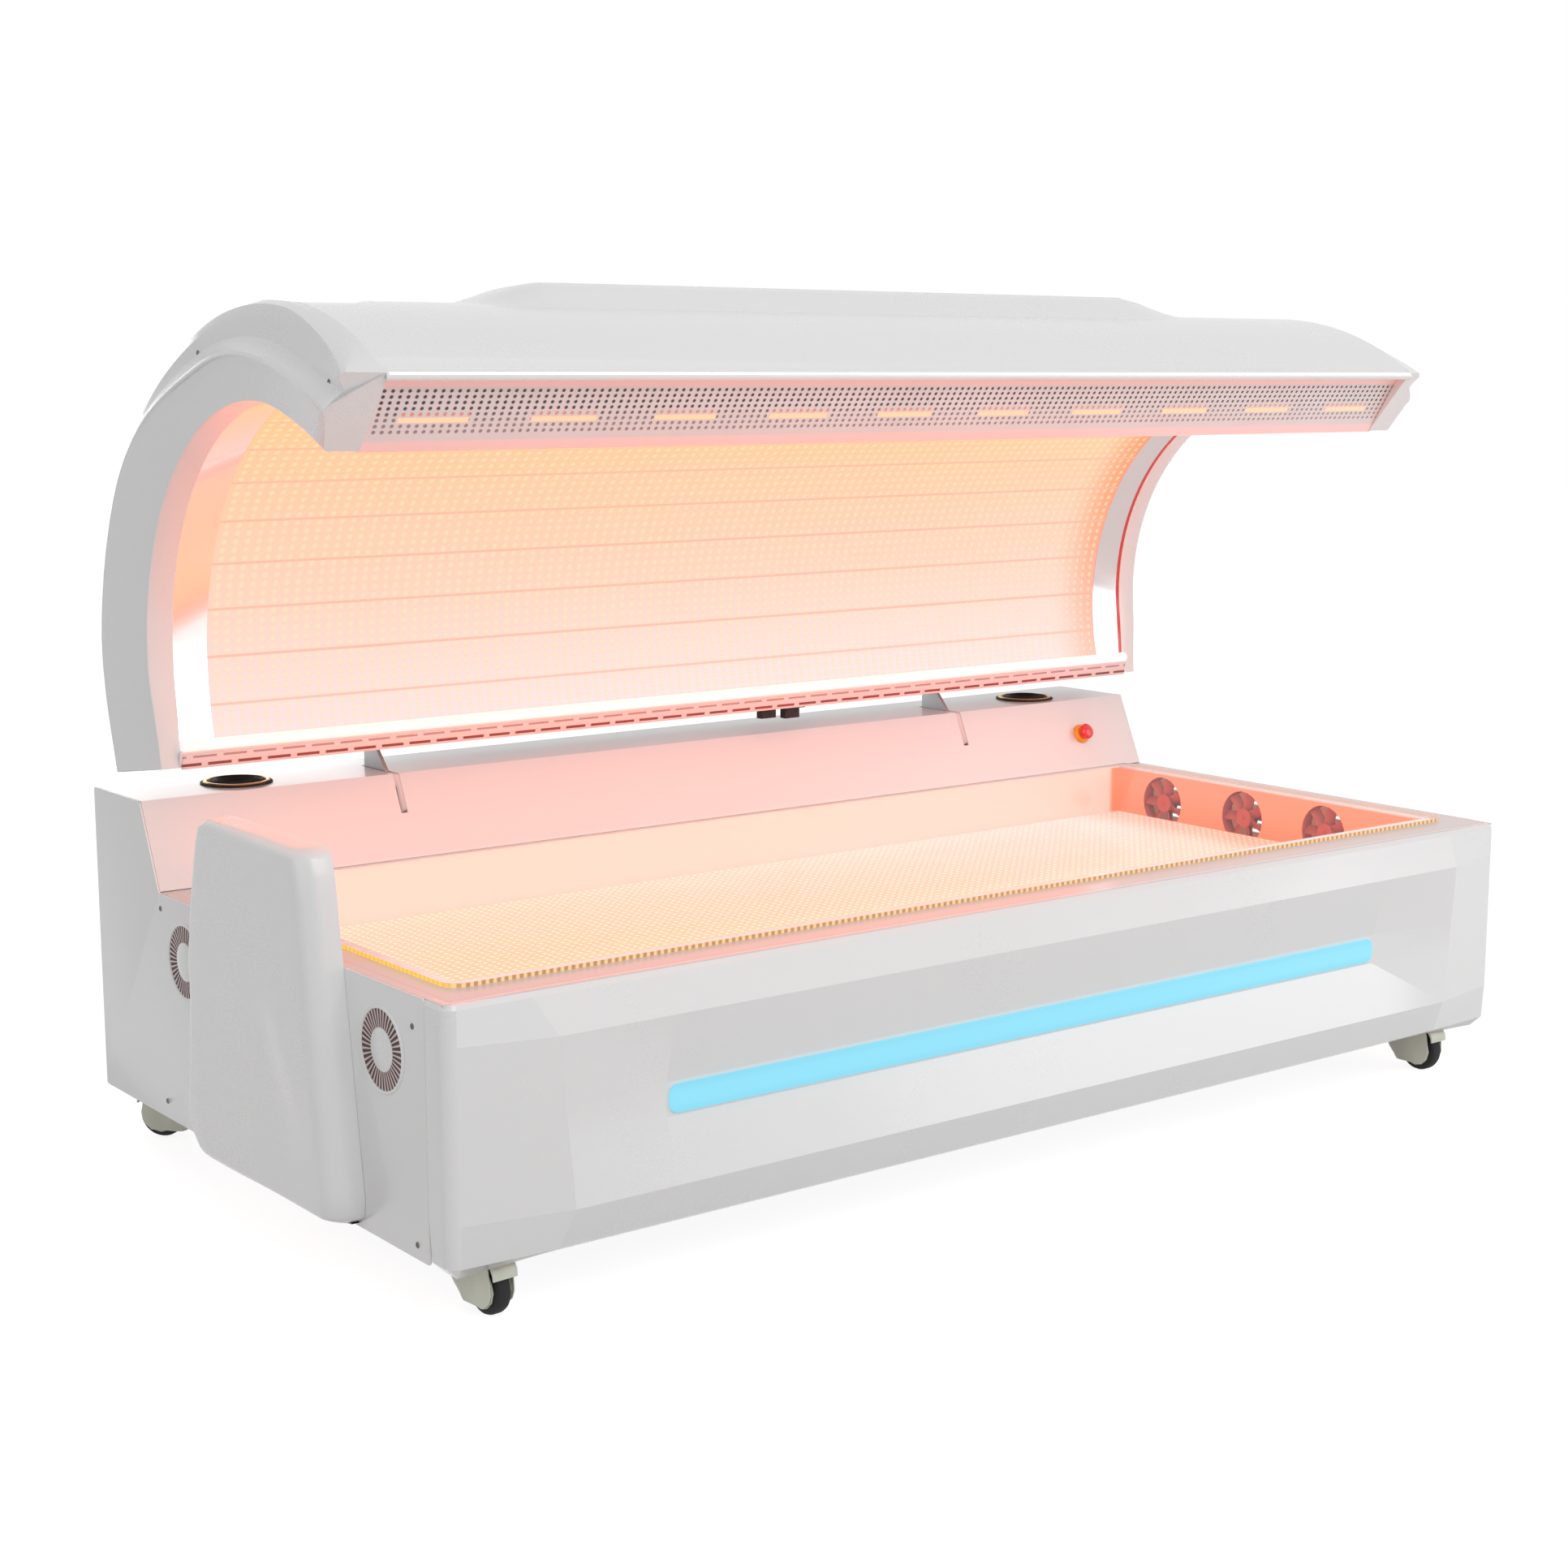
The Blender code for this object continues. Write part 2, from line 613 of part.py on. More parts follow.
def make_fascia(root):
    """Faceted front: a ridge and a lower line stand proud, and a recess between holds the strip."""
    proud = FRONT_Y - RIDGE_PROUD
    seat = proud + RECESS_DEPTH
    strip_x, strip_h = STRIP_L / 2 + STRIP_MARGIN, STRIP_H / 2 + STRIP_MARGIN
    ridge_x, lower_x, under_x = HALF_L - RIDGE_INSET, HALF_L - LOWER_INSET, HALF_L - UNDER_INSET
    lower_z = SKIRT_Z + LOWER_RISE
    half = {
        "corner_top": (HALF_L, FRONT_Y, RIM_Z),
        "corner_low": (HALF_L, FRONT_Y, SKIRT_Z),
        "ridge": (ridge_x, proud, RIM_Z - RIDGE_DROP),
        "lower": (lower_x, proud, lower_z),
        "strip_top": (strip_x, seat, STRIP_Z + strip_h),
        "strip_low": (strip_x, seat, STRIP_Z - strip_h),
        "under": (under_x, proud + UNDER_DEPTH, SKIRT_Z - UNDER_DROP),
    }
    shape = bmesh.new()
    right = {key: shape.verts.new(place) for key, place in half.items()}
    left = {key: shape.verts.new((-x, y, z)) for key, (x, y, z) in half.items()}
    for upper, lower in (("corner_top", "ridge"), ("ridge", "strip_top"), ("strip_top", "strip_low"),
                         ("strip_low", "lower"), ("lower", "under")):
        shape.faces.new((left[lower], right[lower], right[upper], left[upper]))
    for ring in (("corner_low", "corner_top", "ridge", "lower"), ("ridge", "strip_top", "strip_low", "lower"),
                 ("corner_low", "lower", "under")):
        shape.faces.new([right[key] for key in ring])
        shape.faces.new([left[key] for key in reversed(ring)])
    seat_corners = {side[key] for side in (left, right) for key in ("strip_top", "strip_low")}
    weight = shape.edges.layers.float.new("bevel_weight_edge")
    for edge in shape.edges:
        edge[weight] = 0 if seat_corners & set(edge.verts) else 1
    mesh = bpy.data.meshes.new("front_fascia")
    shape.to_mesh(mesh)
    shape.free()
    fascia = add("front_fascia", mesh, (0, 0, 0), root, WHITE)
    bevel(fascia, FASCIA_ROUND).modifiers["Round"].limit_method = "WEIGHT"
    thicken(fascia, SHEET_T)
    ends = rounded(rectangle((-STRIP_L / 2, STRIP_Z - STRIP_H / 2), (STRIP_L / 2, STRIP_Z + STRIP_H / 2)),
                   STRIP_H / 3)
    flat("blue_light_strip", ends, "Y", seat - GAP - STRIP_T, seat - GAP, root, STRIP_BLUE)


def vent_slots(y, z):
    """Radial slots round a vent's middle, as hole outlines."""
    slots = []
    for i in range(VENT_SLOTS):
        turn = 2 * pi * i / VENT_SLOTS
        along, across = Vector((cos(turn), sin(turn))), Vector((-sin(turn), cos(turn))) * VENT_SLOT_W / 2
        near, far = along * VENT_INNER_R, along * VENT_OUTER_R
        middle = Vector((y, z))
        slots.append([tuple(middle + point) for point in (near - across, far - across, far + across,
                                                         near + across)])
    return slots


def louvres(y, z):
    """Level slots behind a fan, as hole outlines."""
    lowest = z - LOUVRE_PITCH * (LOUVRES - 1) / 2
    levels = [lowest + LOUVRE_PITCH * i for i in range(LOUVRES)]
    return [rectangle((y - LOUVRE_L / 2, level - LOUVRE_H / 2), (y + LOUVRE_L / 2, level + LOUVRE_H / 2))
            for level in levels]


def make_end_panels(root):
    """End sheets with the section of the base, cut with vents."""
    front = FRONT_Y + SHEET_T + SEAM
    outline = [(front + PANEL_CHAMFER, SKIRT_Z), (REAR_Y, SKIRT_Z), (REAR_Y, DECK_Z), (DECK_Y, DECK_Z),
               (FOOT_Y, RIM_Z), (front, RIM_Z), (front, SKIRT_Z + PANEL_CHAMFER)]
    holes_in = {"left": vent_slots(VENT_FRONT_Y, VENT_Z) + vent_slots(VENT_REAR_Y, VENT_Z),
                "right": [slot for y in FAN_YS for slot in louvres(y, RIM_Z - FAN_DROP)]}
    for side, sign in SIDES:
        ends = sorted((sign * (HALF_L - SHEET_T), sign * HALF_L))
        flat(side + "_end_panel", outline, "X", ends[0], ends[1], root, PANEL_WHITE, holes_in[side])


def inset(points, distance):
    """The closed outline moved inwards by a distance; its points run anticlockwise."""
    moved = []
    corners = [Vector(point) for point in points]
    for i, corner in enumerate(corners):
        into = (corner - corners[i - 1]).normalized()
        out = (corners[(i + 1) % len(corners)] - corner).normalized()
        normal_in, normal_out = Vector((-into.y, into.x)), Vector((-out.y, out.x))
        middle = (normal_in + normal_out).normalized()
        moved.append(tuple(corner + middle * distance / middle.dot(normal_in)))
    return moved


def make_head_panel(root):
    """Moulded cowl on the head end, hollow, with its opening against the left end panel."""
    face = -HALF_L - GAP
    panel = flat("head_end_panel", rounded(HEAD_OUTLINE, HEAD_ROUND), "X", face - HEAD_T, face, root, WHITE)
    bevel(panel, HEAD_WALL, angle=60.0)
    inner = inset(HEAD_OUTLINE, 2 * HEAD_WALL)
    hollow = flat("head_hollow", rounded(inner, HEAD_ROUND), "X", face - HEAD_T + HEAD_WALL,
                  face - HEAD_WALL, root)
    low = [min(point[axis] for point in inner) for axis in (0, 1)]
    start = low[0] + 2 * HEAD_ROUND
    mouth = rectangle((start, low[1] + HEAD_ROUND), (start + HEAD_OPENING_W, RIM_Z - HEAD_ROUND))
    opening = flat("head_opening", mouth, "X", face - 2 * HEAD_WALL, face + HEAD_WALL, root)
    cut(panel, hollow, opening)


def make_rear_housing(root):
    """Folded deck and slope, with slots for the hinge arms and holes for what is set in it."""
    back = REAR_Y - SHEET_T - GAP
    lift = GAP + SHEET_T * cos(SLOPE_TURN)
    foot = (FOOT_Y + lift / tan(SLOPE_TURN), RIM_Z + lift)
    profile = [(back, DECK_Z), (DECK_Y, DECK_Z), foot]
    housing = sheet("rear_housing", profile, -INNER_L, INNER_L, SHEET_T, root, PINK_WHITE)
    for side, sign in SIDES:
        half = ARM_T / 2 + SLOT_PLAY
        x = sign * ARM_X
        cut(housing, box("arm_slot_" + side, (x - half, FOOT_Y - SLOT_PLAY, DECK_Z - SLOT_DOWN),
                         (x + half, DECK_Y + SLOT_BACK, DECK_Z + SLOT_DOWN), root))
        hole = sign * SPEAKER_X
        cut(housing, rod("speaker_hole_" + side, (hole, SPEAKER_Y, DECK_Z - SPEAKER_DEPTH),
                         (hole, SPEAKER_Y, DECK_Z + SPEAKER_DEPTH), SPEAKER_BARREL_R + GAP, root, sides=36))
    spot, normal = estop_spot()
    cut(housing, rod("estop_hole", spot - normal * ESTOP_BARREL_L, spot + normal * ESTOP_BARREL_L,
                     ESTOP_BARREL_R + GAP, root))
    cover = rectangle((-INNER_L, SKIRT_Z), (INNER_L, DECK_Z))
    half_x, half_z = INLET_SOCKET[0] / 2, INLET_SOCKET[2] / 2
    socket = rectangle((INLET_X - half_x, INLET_Z - half_z), (INLET_X + half_x, INLET_Z + half_z))
    flat("rear_back_cover", cover, "Y", REAR_Y - SHEET_T, REAR_Y, root, PANEL_WHITE, [socket])


# Tub and what lies in it

def make_tub(root):
    """Folded tub: a rim flange round a sunk floor, with fan holes in the right wall."""
    xs = (-INNER_L, -TUB_L / 2, TUB_L / 2, INNER_L)
    ys = (FRONT_Y + SHEET_T + GAP, TUB_Y0, TUB_Y1, FOOT_Y + TUB_LEDGE)
    shape = bmesh.new()
    bmesh.ops.create_grid(shape, x_segments=3, y_segments=3, size=1)
    for i, vert in enumerate(shape.verts):
        vert.co = (xs[i % 4], ys[i // 4], RIM_Z)
    middle = min(shape.faces, key=lambda face: face.calc_center_median().xy.length)
    sunk = bmesh.ops.extrude_face_region(shape, geom=[middle])["geom"]
    floor = [item for item in sunk if isinstance(item, bmesh.types.BMVert)]
    bmesh.ops.translate(shape, verts=floor, vec=(0, 0, -TUB_DEPTH))
    bmesh.ops.delete(shape, geom=[middle], context="FACES_ONLY")
    mesh = bpy.data.meshes.new("bed_tub")
    shape.to_mesh(mesh)
    shape.free()
    tub = thicken(add("bed_tub", mesh, (0, 0, 0), root, CORAL), SHEET_T)
    for y in FAN_YS:
        z = RIM_Z - FAN_DROP
        cut(tub, rod("fan_hole", (TUB_L / 2 - FAN_T, y, z), (TUB_L / 2 + FAN_T, y, z), FAN_BORE / 2, root,
                     sides=24))
    ends = TUB_L / 2 + ACRYLIC_LAP
    top = rounded(rectangle((-ends, TUB_Y0 - ACRYLIC_FRONT_LAP), (ends, FOOT_Y - ACRYLIC_BACK_GAP)),
                  ACRYLIC_ROUND)
    flat("bed_acrylic_sheet", top, "Z", RIM_Z + GAP, RIM_Z + GAP + ACRYLIC_T, root, ACRYLIC)


def make_bed_boards(root):
    """LED trays side by side on the tub floor, each a plate on two legs."""
    pitch = (TUB_L - 2 * BED_BOARD_MARGIN) / BED_BOARDS
    low, high = TUB_Z + GAP, TUB_Z + BED_BOARD_H
    for i in range(BED_BOARDS):
        left = -TUB_L / 2 + BED_BOARD_MARGIN + i * pitch + GAP
        right = left + pitch - 2 * GAP
        tray = [(left, low), (left + BED_BOARD_LEG, low), (left + BED_BOARD_LEG, high - BED_BOARD_T),
                (right - BED_BOARD_LEG, high - BED_BOARD_T), (right - BED_BOARD_LEG, low), (right, low),
                (right, high), (left, high)]
        flat("bed_led_board_%d" % (i + 1), tray, "Y", TUB_Y0 + BED_BOARD_MARGIN, TUB_Y1 - BED_BOARD_MARGIN,
             root, LED_SALMON)


def make_fan(root, number, y):
    """A square fan: its frame carries a shaft on a spider, and the rotor turns on the shaft."""
    z = RIM_Z - FAN_DROP
    near = TUB_L / 2 + SHEET_T + GAP
    far = near + FAN_T
    half = FAN_SIZE / 2
    frame = flat("fan_frame_%d" % number, rectangle((y - half, z - half), (y + half, z + half)), "X", near,
                 far, root, FAN_BROWN, [circle((y, z), FAN_BORE / 2)])
    back, reach, width = far - FAN_SPIDER_T, (FAN_BORE + FAN_SIZE) / 4, FAN_SPIDER_W / 2
    join(frame, box("fan_arm_across", (back, y - reach, z - width), (far - GAP, y + reach, z + width), root),
         box("fan_arm_up", (back, y - width, z - reach), (far - GAP, y + width, z + reach), root),
         rod("fan_hub_seat", (back - GAP, y, z), (far - 2 * GAP, y, z), FAN_HUB_R, root),
         rod("fan_shaft", (near + FAN_TIP_PLAY, y, z), (far - FAN_SPIDER_T / 2, y, z), FAN_SHAFT_R, root))
    middle = near + FAN_TIP_PLAY + FAN_ROTOR_T / 2
    thick, bore = FAN_ROTOR_T / 2, FAN_SHAFT_R + PIN_PLAY
    hub = [(bore, thick), (FAN_HUB_R, thick), (FAN_HUB_R, -thick), (bore, -thick)]
    rotor = turned("fan_rotor_%d" % number, hub, (middle, y, z), root, FAN_BROWN, TURNS["X"], 20, True)
    root_r, tip_r = FAN_HUB_R - FAN_TIP_PLAY, FAN_BORE / 2 - FAN_TIP_PLAY
    mesh = bpy.data.meshes.new("fan_blades")
    shape = bmesh.new()
    for i in range(FAN_BLADES):
        place = (Matrix.Rotation(2 * pi * i / FAN_BLADES, 4, "Z")
                 @ Matrix.Translation(((root_r + tip_r) / 2, 0, 0))
                 @ Matrix.Rotation(radians(FAN_PITCH), 4, "X")
                 @ Matrix.Diagonal((tip_r - root_r, FAN_BLADE_CHORD, FAN_BLADE_T, 1)))
        bmesh.ops.create_cube(shape, size=1, matrix=place)
    shape.to_mesh(mesh)
    shape.free()
    join(rotor, add("fan_blades", mesh, (middle, y, z), root, None, TURNS["X"]))


# Electrics

def make_electrics(root):
    for name, size, x in (("power_supply", SUPPLY_SIZE, SUPPLY_X), ("control_box", CONTROL_SIZE, CONTROL_X)):
        low = (x - size[0] / 2, -size[1] / 2, PAN_TOP + GAP)
        high = (x + size[0] / 2, size[1] / 2, PAN_TOP + GAP + size[2])
        bevel(box(name, low, high, root, STEEL), BOX_ROUND)
    back = REAR_Y - SHEET_T - GAP
    half_x, half_z = INLET_SIZE[0] / 2, INLET_SIZE[2] / 2
    inlet = box("mains_inlet", (INLET_X - half_x, back - INLET_SIZE[1], INLET_Z - half_z),
                (INLET_X + half_x, back, INLET_Z + half_z), root, BLACK)
    half_x, half_z = INLET_SOCKET[0] / 2, INLET_SOCKET[2] / 2
    cut(inlet, box("inlet_socket", (INLET_X - half_x, back - INLET_SOCKET[1], INLET_Z - half_z),
                   (INLET_X + half_x, back + INLET_SOCKET[1], INLET_Z + half_z), root))


def make_speaker(root, side, sign):
    """A round speaker set in the deck: a lip on top, a dished cone and a barrel below."""
    lip, barrel = SPEAKER_R, SPEAKER_BARREL_R
    profile = [(0, -SPEAKER_CONE), (barrel / 3, -SPEAKER_CONE), (barrel, 0), (barrel, SPEAKER_LIP),
               (lip - SPEAKER_LIP, SPEAKER_LIP), (lip, 0), (barrel - GAP, 0), (barrel - GAP, -SPEAKER_DEPTH),
               (0, -SPEAKER_DEPTH)]
    turned("speaker_" + side, profile, (sign * SPEAKER_X, SPEAKER_Y, DECK_Z + GAP), root, BLACK, steps=36)


def estop_spot():
    """Where the emergency button's axis meets the slope, and the slope's outward direction."""
    down = Vector((0, FOOT_Y - DECK_Y, RIM_Z - DECK_Z)).normalized()
    spot = Vector((ESTOP_X, DECK_Y, DECK_Z)) + down * ESTOP_DOWN
    return spot, Vector((0, -sin(SLOPE_TURN), cos(SLOPE_TURN)))


def make_estop(root):
    """Emergency button: a collar fixed through the slope and a sprung mushroom head."""
    spot, normal = estop_spot()
    turn = Matrix.Rotation(SLOPE_TURN, 3, "X")
    bore = ESTOP_STEM_R + PIN_PLAY
    collar = [(bore, ESTOP_COLLAR_H), (ESTOP_COLLAR_R - ESTOP_COLLAR_H / 2, ESTOP_COLLAR_H),
              (ESTOP_COLLAR_R, ESTOP_COLLAR_H / 2), (ESTOP_COLLAR_R, 0), (ESTOP_BARREL_R, 0),
              (ESTOP_BARREL_R, -ESTOP_BARREL_L), (bore, -ESTOP_BARREL_L)]
    turned("estop_collar", collar, spot + normal * GAP, root, AMBER, turn, 24, True)
    low = ESTOP_COLLAR_H + ESTOP_TRAVEL + GAP
    dome = [(ESTOP_HEAD_R * sin(radians(a)), low + ESTOP_HEAD_H * (1 + cos(radians(a))) / 2)
            for a in (0, 25, 45, 65, 90)]
    head = [*dome, (ESTOP_HEAD_R, low), (ESTOP_STEM_R, low), (ESTOP_STEM_R, low - ESTOP_STEM_L),
            (0, low - ESTOP_STEM_L)]
    turned("estop_button", head, spot + normal * GAP, root, RED, turn, 24)


# Hinges and gas struts

def make_hinge_bracket(root, side, sign):
    """A standing plate beside the arm, with a foot on the floor pan and the hinge pin."""
    base, front, back = PAN_TOP + GAP, PIVOT[0] - ARM_BOSS_R, PIVOT[0] - ARM_BOSS_R + BRACKET_W
    near = ARM_X + ARM_T / 2 + PIN_PLAY
    far = near + BRACKET_T
    outline = [(front, base), (back, base), (back, PIVOT[1] - BRACKET_W / 2),
               *arc(PIVOT, ARM_BOSS_R, 0, 180, 12)]
    ends = sorted((sign * near, sign * far))
    bracket = flat("hinge_bracket_" + side, outline, "X", ends[0], ends[1], root, STEEL)
    foot = sorted((sign * (near + GAP), sign * (near + BRACKET_FOOT)))
    pin_end = ARM_X - ARM_T / 2 - HINGE_PIN_END
    tread = box("bracket_foot", (foot[0], front + GAP, base), (foot[1], back - GAP, base + BRACKET_T), root)
    join(bracket, tread,
         rod("hinge_pin", (sign * (far - GAP), *PIVOT), (sign * pin_end, *PIVOT), HINGE_PIN_R, root))


def make_strut(root, side, sign):
    """A standing gas strut; its rod ends in a fork with a pin that runs in the arm's lever."""
    x, bore = sign * ARM_X, ROD_R + PIN_PLAY
    cylinder = [(0, STRUT_FLOOR), (bore, STRUT_FLOOR), (bore, STRUT_TOP), (STRUT_R, STRUT_TOP),
                (STRUT_R, STRUT_FOOT_T), (STRUT_FOOT_R, STRUT_FOOT_T), (STRUT_FOOT_R, 0), (0, 0)]
    turned("strut_cylinder_" + side, cylinder, (x, STRUT_Y, PAN_TOP + GAP), root, BLACK, steps=20)
    pin = (x, STRUT_Y, STRUT_PIN_Z)
    crown = STRUT_PIN_Z - ROD_CROWN_DOWN
    low = crown - ROD_CROWN_T
    inner = ARM_T / 2 + ROD_CHEEK_PLAY
    outer, half = inner + ROD_CHEEK_T, ROD_CHEEK_W / 2
    bar = [(0, 0), (ROD_R, 0), (ROD_R, -ROD_REACH), (0, -ROD_REACH)]
    piece = turned("strut_rod_" + side, bar, (x, STRUT_Y, crown - ROD_CROWN_T / 2), root, STEEL, steps=16)
    top = STRUT_PIN_Z + ROD_CHEEK_UP
    wide, deep = outer - GAP, half - GAP
    join(piece, box("rod_crown", (x - wide, STRUT_Y - deep, low), (x + wide, STRUT_Y + deep, crown), root))
    for start in (-outer, inner):
        join(piece, box("rod_cheek", (x + start, STRUT_Y - half, low + GAP),
                        (x + start + ROD_CHEEK_T, STRUT_Y + half, top), root))
    reach = outer + ROD_CHEEK_PLAY
    join(piece, rod("rod_pin", (x - reach, *pin[1:]), (x + reach, *pin[1:]), STRUT_PIN_R, root))


# Canopy

def led_point(index, radius):
    """A fold of the LED arc, counted from its rear end, at a radius from the arc's centre."""
    return on_arc(LED_C, radius, LED_FROM + index * LED_STEP)


def rail_underside(y):
    """Height of the rear rail's underside."""
    end = on_arc(SHELL_C, SHELL_IN_R, RAIL_TO)
    return RAIL_EDGE[1] + (end[1] - RAIL_EDGE[1]) * (y - RAIL_EDGE[0]) / (end[0] - RAIL_EDGE[0])


def make_shell(canopy):
    """Outer shell: one arc of sheet whose front edge folds under to the lip."""
    profile = arc(SHELL_C, SHELL_R, SHELL_FROM, SHELL_TO, SHELL_STEPS)
    edge = profile[-1]
    profile += [(edge[0] + y, edge[1] + z) for y, z in NOSE_FOLDS]
    sheet("canopy_outer_shell", profile, -CANOPY_L / 2, CANOPY_L / 2, SHEET_T, canopy, WHITE)
    return profile[-1]


def make_grille(canopy, lip):
    """Front grille plate that leans back from the lip, with a row of light windows."""
    half, left = CANOPY_L / 2, -GRILLE_WINDOW_L / 2
    pitch = CANOPY_L / GRILLE_WINDOWS
    low, high = GRILLE_WINDOW_DOWN - GRILLE_WINDOW_H / 2, GRILLE_WINDOW_DOWN + GRILLE_WINDOW_H / 2
    middles = [-half + pitch * (i + 0.5) for i in range(GRILLE_WINDOWS)]
    windows = [rectangle((x + left, low), (x - left, high)) for x in middles]
    plate = rectangle((-half, 0), (half, GRILLE_H))
    mesh = mesh_of_outlines("canopy_front_grille", [plate, *windows], SHEET_T)
    turn = Matrix.Rotation(radians(-GRILLE_LEAN), 3, "X")
    place = Vector((0, lip[0] + GAP, lip[1])) + turn @ Vector((0, 0, SHEET_T / 2))
    add("canopy_front_grille", mesh, place, canopy, PINK_WHITE, turn)


def make_rail(canopy):
    """Rear rail: a front lip, a sole the arms pass through, and a flange inside the shell."""
    front = (RAIL_EDGE[0] - RAIL_LIP_LEAN, RAIL_EDGE[1] + RAIL_LIP)
    profile = [front, RAIL_EDGE, *arc(SHELL_C, SHELL_IN_R, RAIL_TO, RAIL_FLANGE_TO, 3)]
    rail = sheet("canopy_rear_rail", profile, -CANOPY_L / 2, CANOPY_L / 2, SHEET_T, canopy, WHITE)
    half, play = ARM_T / 2 + RAIL_SLOT_PLAY, RAIL_SLOT_PLAY
    front, back = ARM_FRONT[0] - play, ARM_BACK + play
    for side, sign in SIDES:
        x = sign * ARM_X
        cut(rail, box("rail_slot_" + side, (x - half, front, DECK_Z), (x + half, back, DECK_Z + SLOT_BACK),
                      canopy))
    for side, x in zip(("left", "right"), STOP_XS):
        back = REAR_Y - STOP_BACK + STOP_W / 2
        front = back - STOP_W
        low = rail_underside(back) - STOP_H
        block = [(front, low), (back, low), (back, rail_underside(back) - GAP),
                 (front, rail_underside(front) - GAP)]
        flat("canopy_stop_" + side, block, "X", x - STOP_L / 2, x + STOP_L / 2, canopy, BLACK)


def make_arm(canopy, side, sign):
    """Hinge arm: a lever for the strut, a boss on the pin, and a spine up inside the canopy."""
    along, across = Vector((-cos(TILT), sin(TILT))), Vector((sin(TILT), cos(TILT)))
    pivot = Vector(PIVOT)
    slot_half = STRUT_PIN_R + SLIDE_PLAY
    near, far = LEVER_R - slot_half, LEVER_R / cos(TILT) + slot_half
    half = slot_half + LEVER_MARGIN
    tip = far + LEVER_MARGIN
    slot = [pivot + along * a + across * b for a, b in ((near, -slot_half), (far, -slot_half),
                                                      (far, slot_half), (near, slot_half))]
    folds = range(1, 2 * LED_BOARDS)
    back_r = LED_BACK_R + 2 * GAP
    outline = [pivot + along * tip - across * half, pivot + along * tip + across * half,
               pivot + along * ARM_BOSS_R + across * half,
               (ARM_NECK[0], ARM_NECK[1]), (ARM_FRONT[0], ARM_FRONT[1]),
               (ARM_FRONT[0], ARM_FRONT[1] + ARM_RISE), *[led_point(k, back_r) for k in folds],
               *arc(SHELL_C, SHELL_IN_R, SPINE_TO, SPINE_FROM, SHELL_STEPS),
               on_arc(SHELL_C, SHELL_IN_R - SPINE_STEP, RAIL_FLANGE_TO),
               (ARM_BACK, ARM_FRONT[1] + ARM_RISE / 4), (ARM_BACK, DECK_Z),
               *arc(PIVOT, ARM_BOSS_R, 0, -120, 8)]
    ends = (sign * ARM_X - ARM_T / 2, sign * ARM_X + ARM_T / 2)
    flat("hinge_arm_" + side, [tuple(point) for point in outline], "X", *ends, canopy, STEEL,
         [circle(PIVOT, HINGE_PIN_R + PIN_PLAY), [tuple(point) for point in slot]])


def make_led_boards(canopy):
    """LED boards along the canopy, each folded once so that the row follows the LED arc."""
    seam = degrees(LED_SEAM / LED_R)
    for i in range(LED_BOARDS):
        start = LED_FROM + 2 * i * LED_STEP
        angles = (start + seam, start + LED_STEP, start + 2 * LED_STEP - seam)
        outline = [on_arc(LED_C, LED_BACK_R, angle) for angle in angles]
        outline += [on_arc(LED_C, LED_R, angle) for angle in reversed(angles)]
        flat("canopy_led_board_%d" % (i + 1), outline, "X", -LED_L / 2, LED_L / 2, canopy, LED_SALMON)


def make_reflector(canopy, side, sign):
    """Mirror strip that flares from the boards' ends out to the cap."""
    start, end = LED_FROM + REFLECTOR_TRIM, LED_TO - REFLECTOR_TRIM
    inner = arc(LED_C, LED_R, start, end, 4 * LED_BOARDS)
    outer = arc(CAP_C, CAP_R + REFLECTOR_T, max(start, CAP_FROM), end, 4 * LED_BOARDS)
    rows = [[(sign * (LED_L / 2 + REFLECTOR_T), y, z) for y, z in inner],
            [(sign * (CANOPY_L / 2 - REFLECTOR_T * 2 / 3), y, z) for y, z in outer]]
    if sign > 0:
        rows.reverse()
    thicken(skin("canopy_%s_reflector" % side, rows, canopy, MIRROR), REFLECTOR_T)


def cap_disc(name, canopy, sign, wall, look=None):
    """A disc about the shell's axis with a well rounded rim, thinned by a wall."""
    low = CANOPY_L / 2 + GAP + wall
    top = CANOPY_L / 2 + CAP_T - wall
    radius, soft = SHELL_R - wall, CAP_ROUND - wall
    tall = min(top - low, soft)
    turns = [radians(a) for a in (0, 30, 60, 90)]
    rim = [(radius - soft * (1 - sin(turn)), top - tall * (1 - cos(turn))) for turn in turns]
    profile = [(0, top), *rim, (radius, low), (0, low)]
    turn = Matrix.Rotation(sign * pi / 2, 3, "Y")
    steps = 2 * SHELL_STEPS
    return turned(name, profile, (0, *SHELL_C), canopy, look, turn, steps)


def cap_outline(margin, outer):
    """Crescent of the cap in (y, z), drawn in by a margin, with the notched nose in front."""
    turn = degrees(margin / CAP_R)
    rear = on_arc(SHELL_C, outer, SHELL_FROM + turn)
    nose = [] if margin else [(SHELL_C[0] + y, SHELL_C[1] + z) for y, z in CAP_NOSE]
    foot = (CAP_FOOT[0] + SHELL_C[0] + margin, CAP_FOOT[1] + SHELL_C[1] + margin)
    return [rear, *arc(SHELL_C, outer, SHELL_FROM + turn, SHELL_TO - turn, SHELL_STEPS)[1:], *nose,
            *arc(CAP_C, CAP_R + margin, CAP_TO - turn, CAP_FROM, SHELL_STEPS), foot]


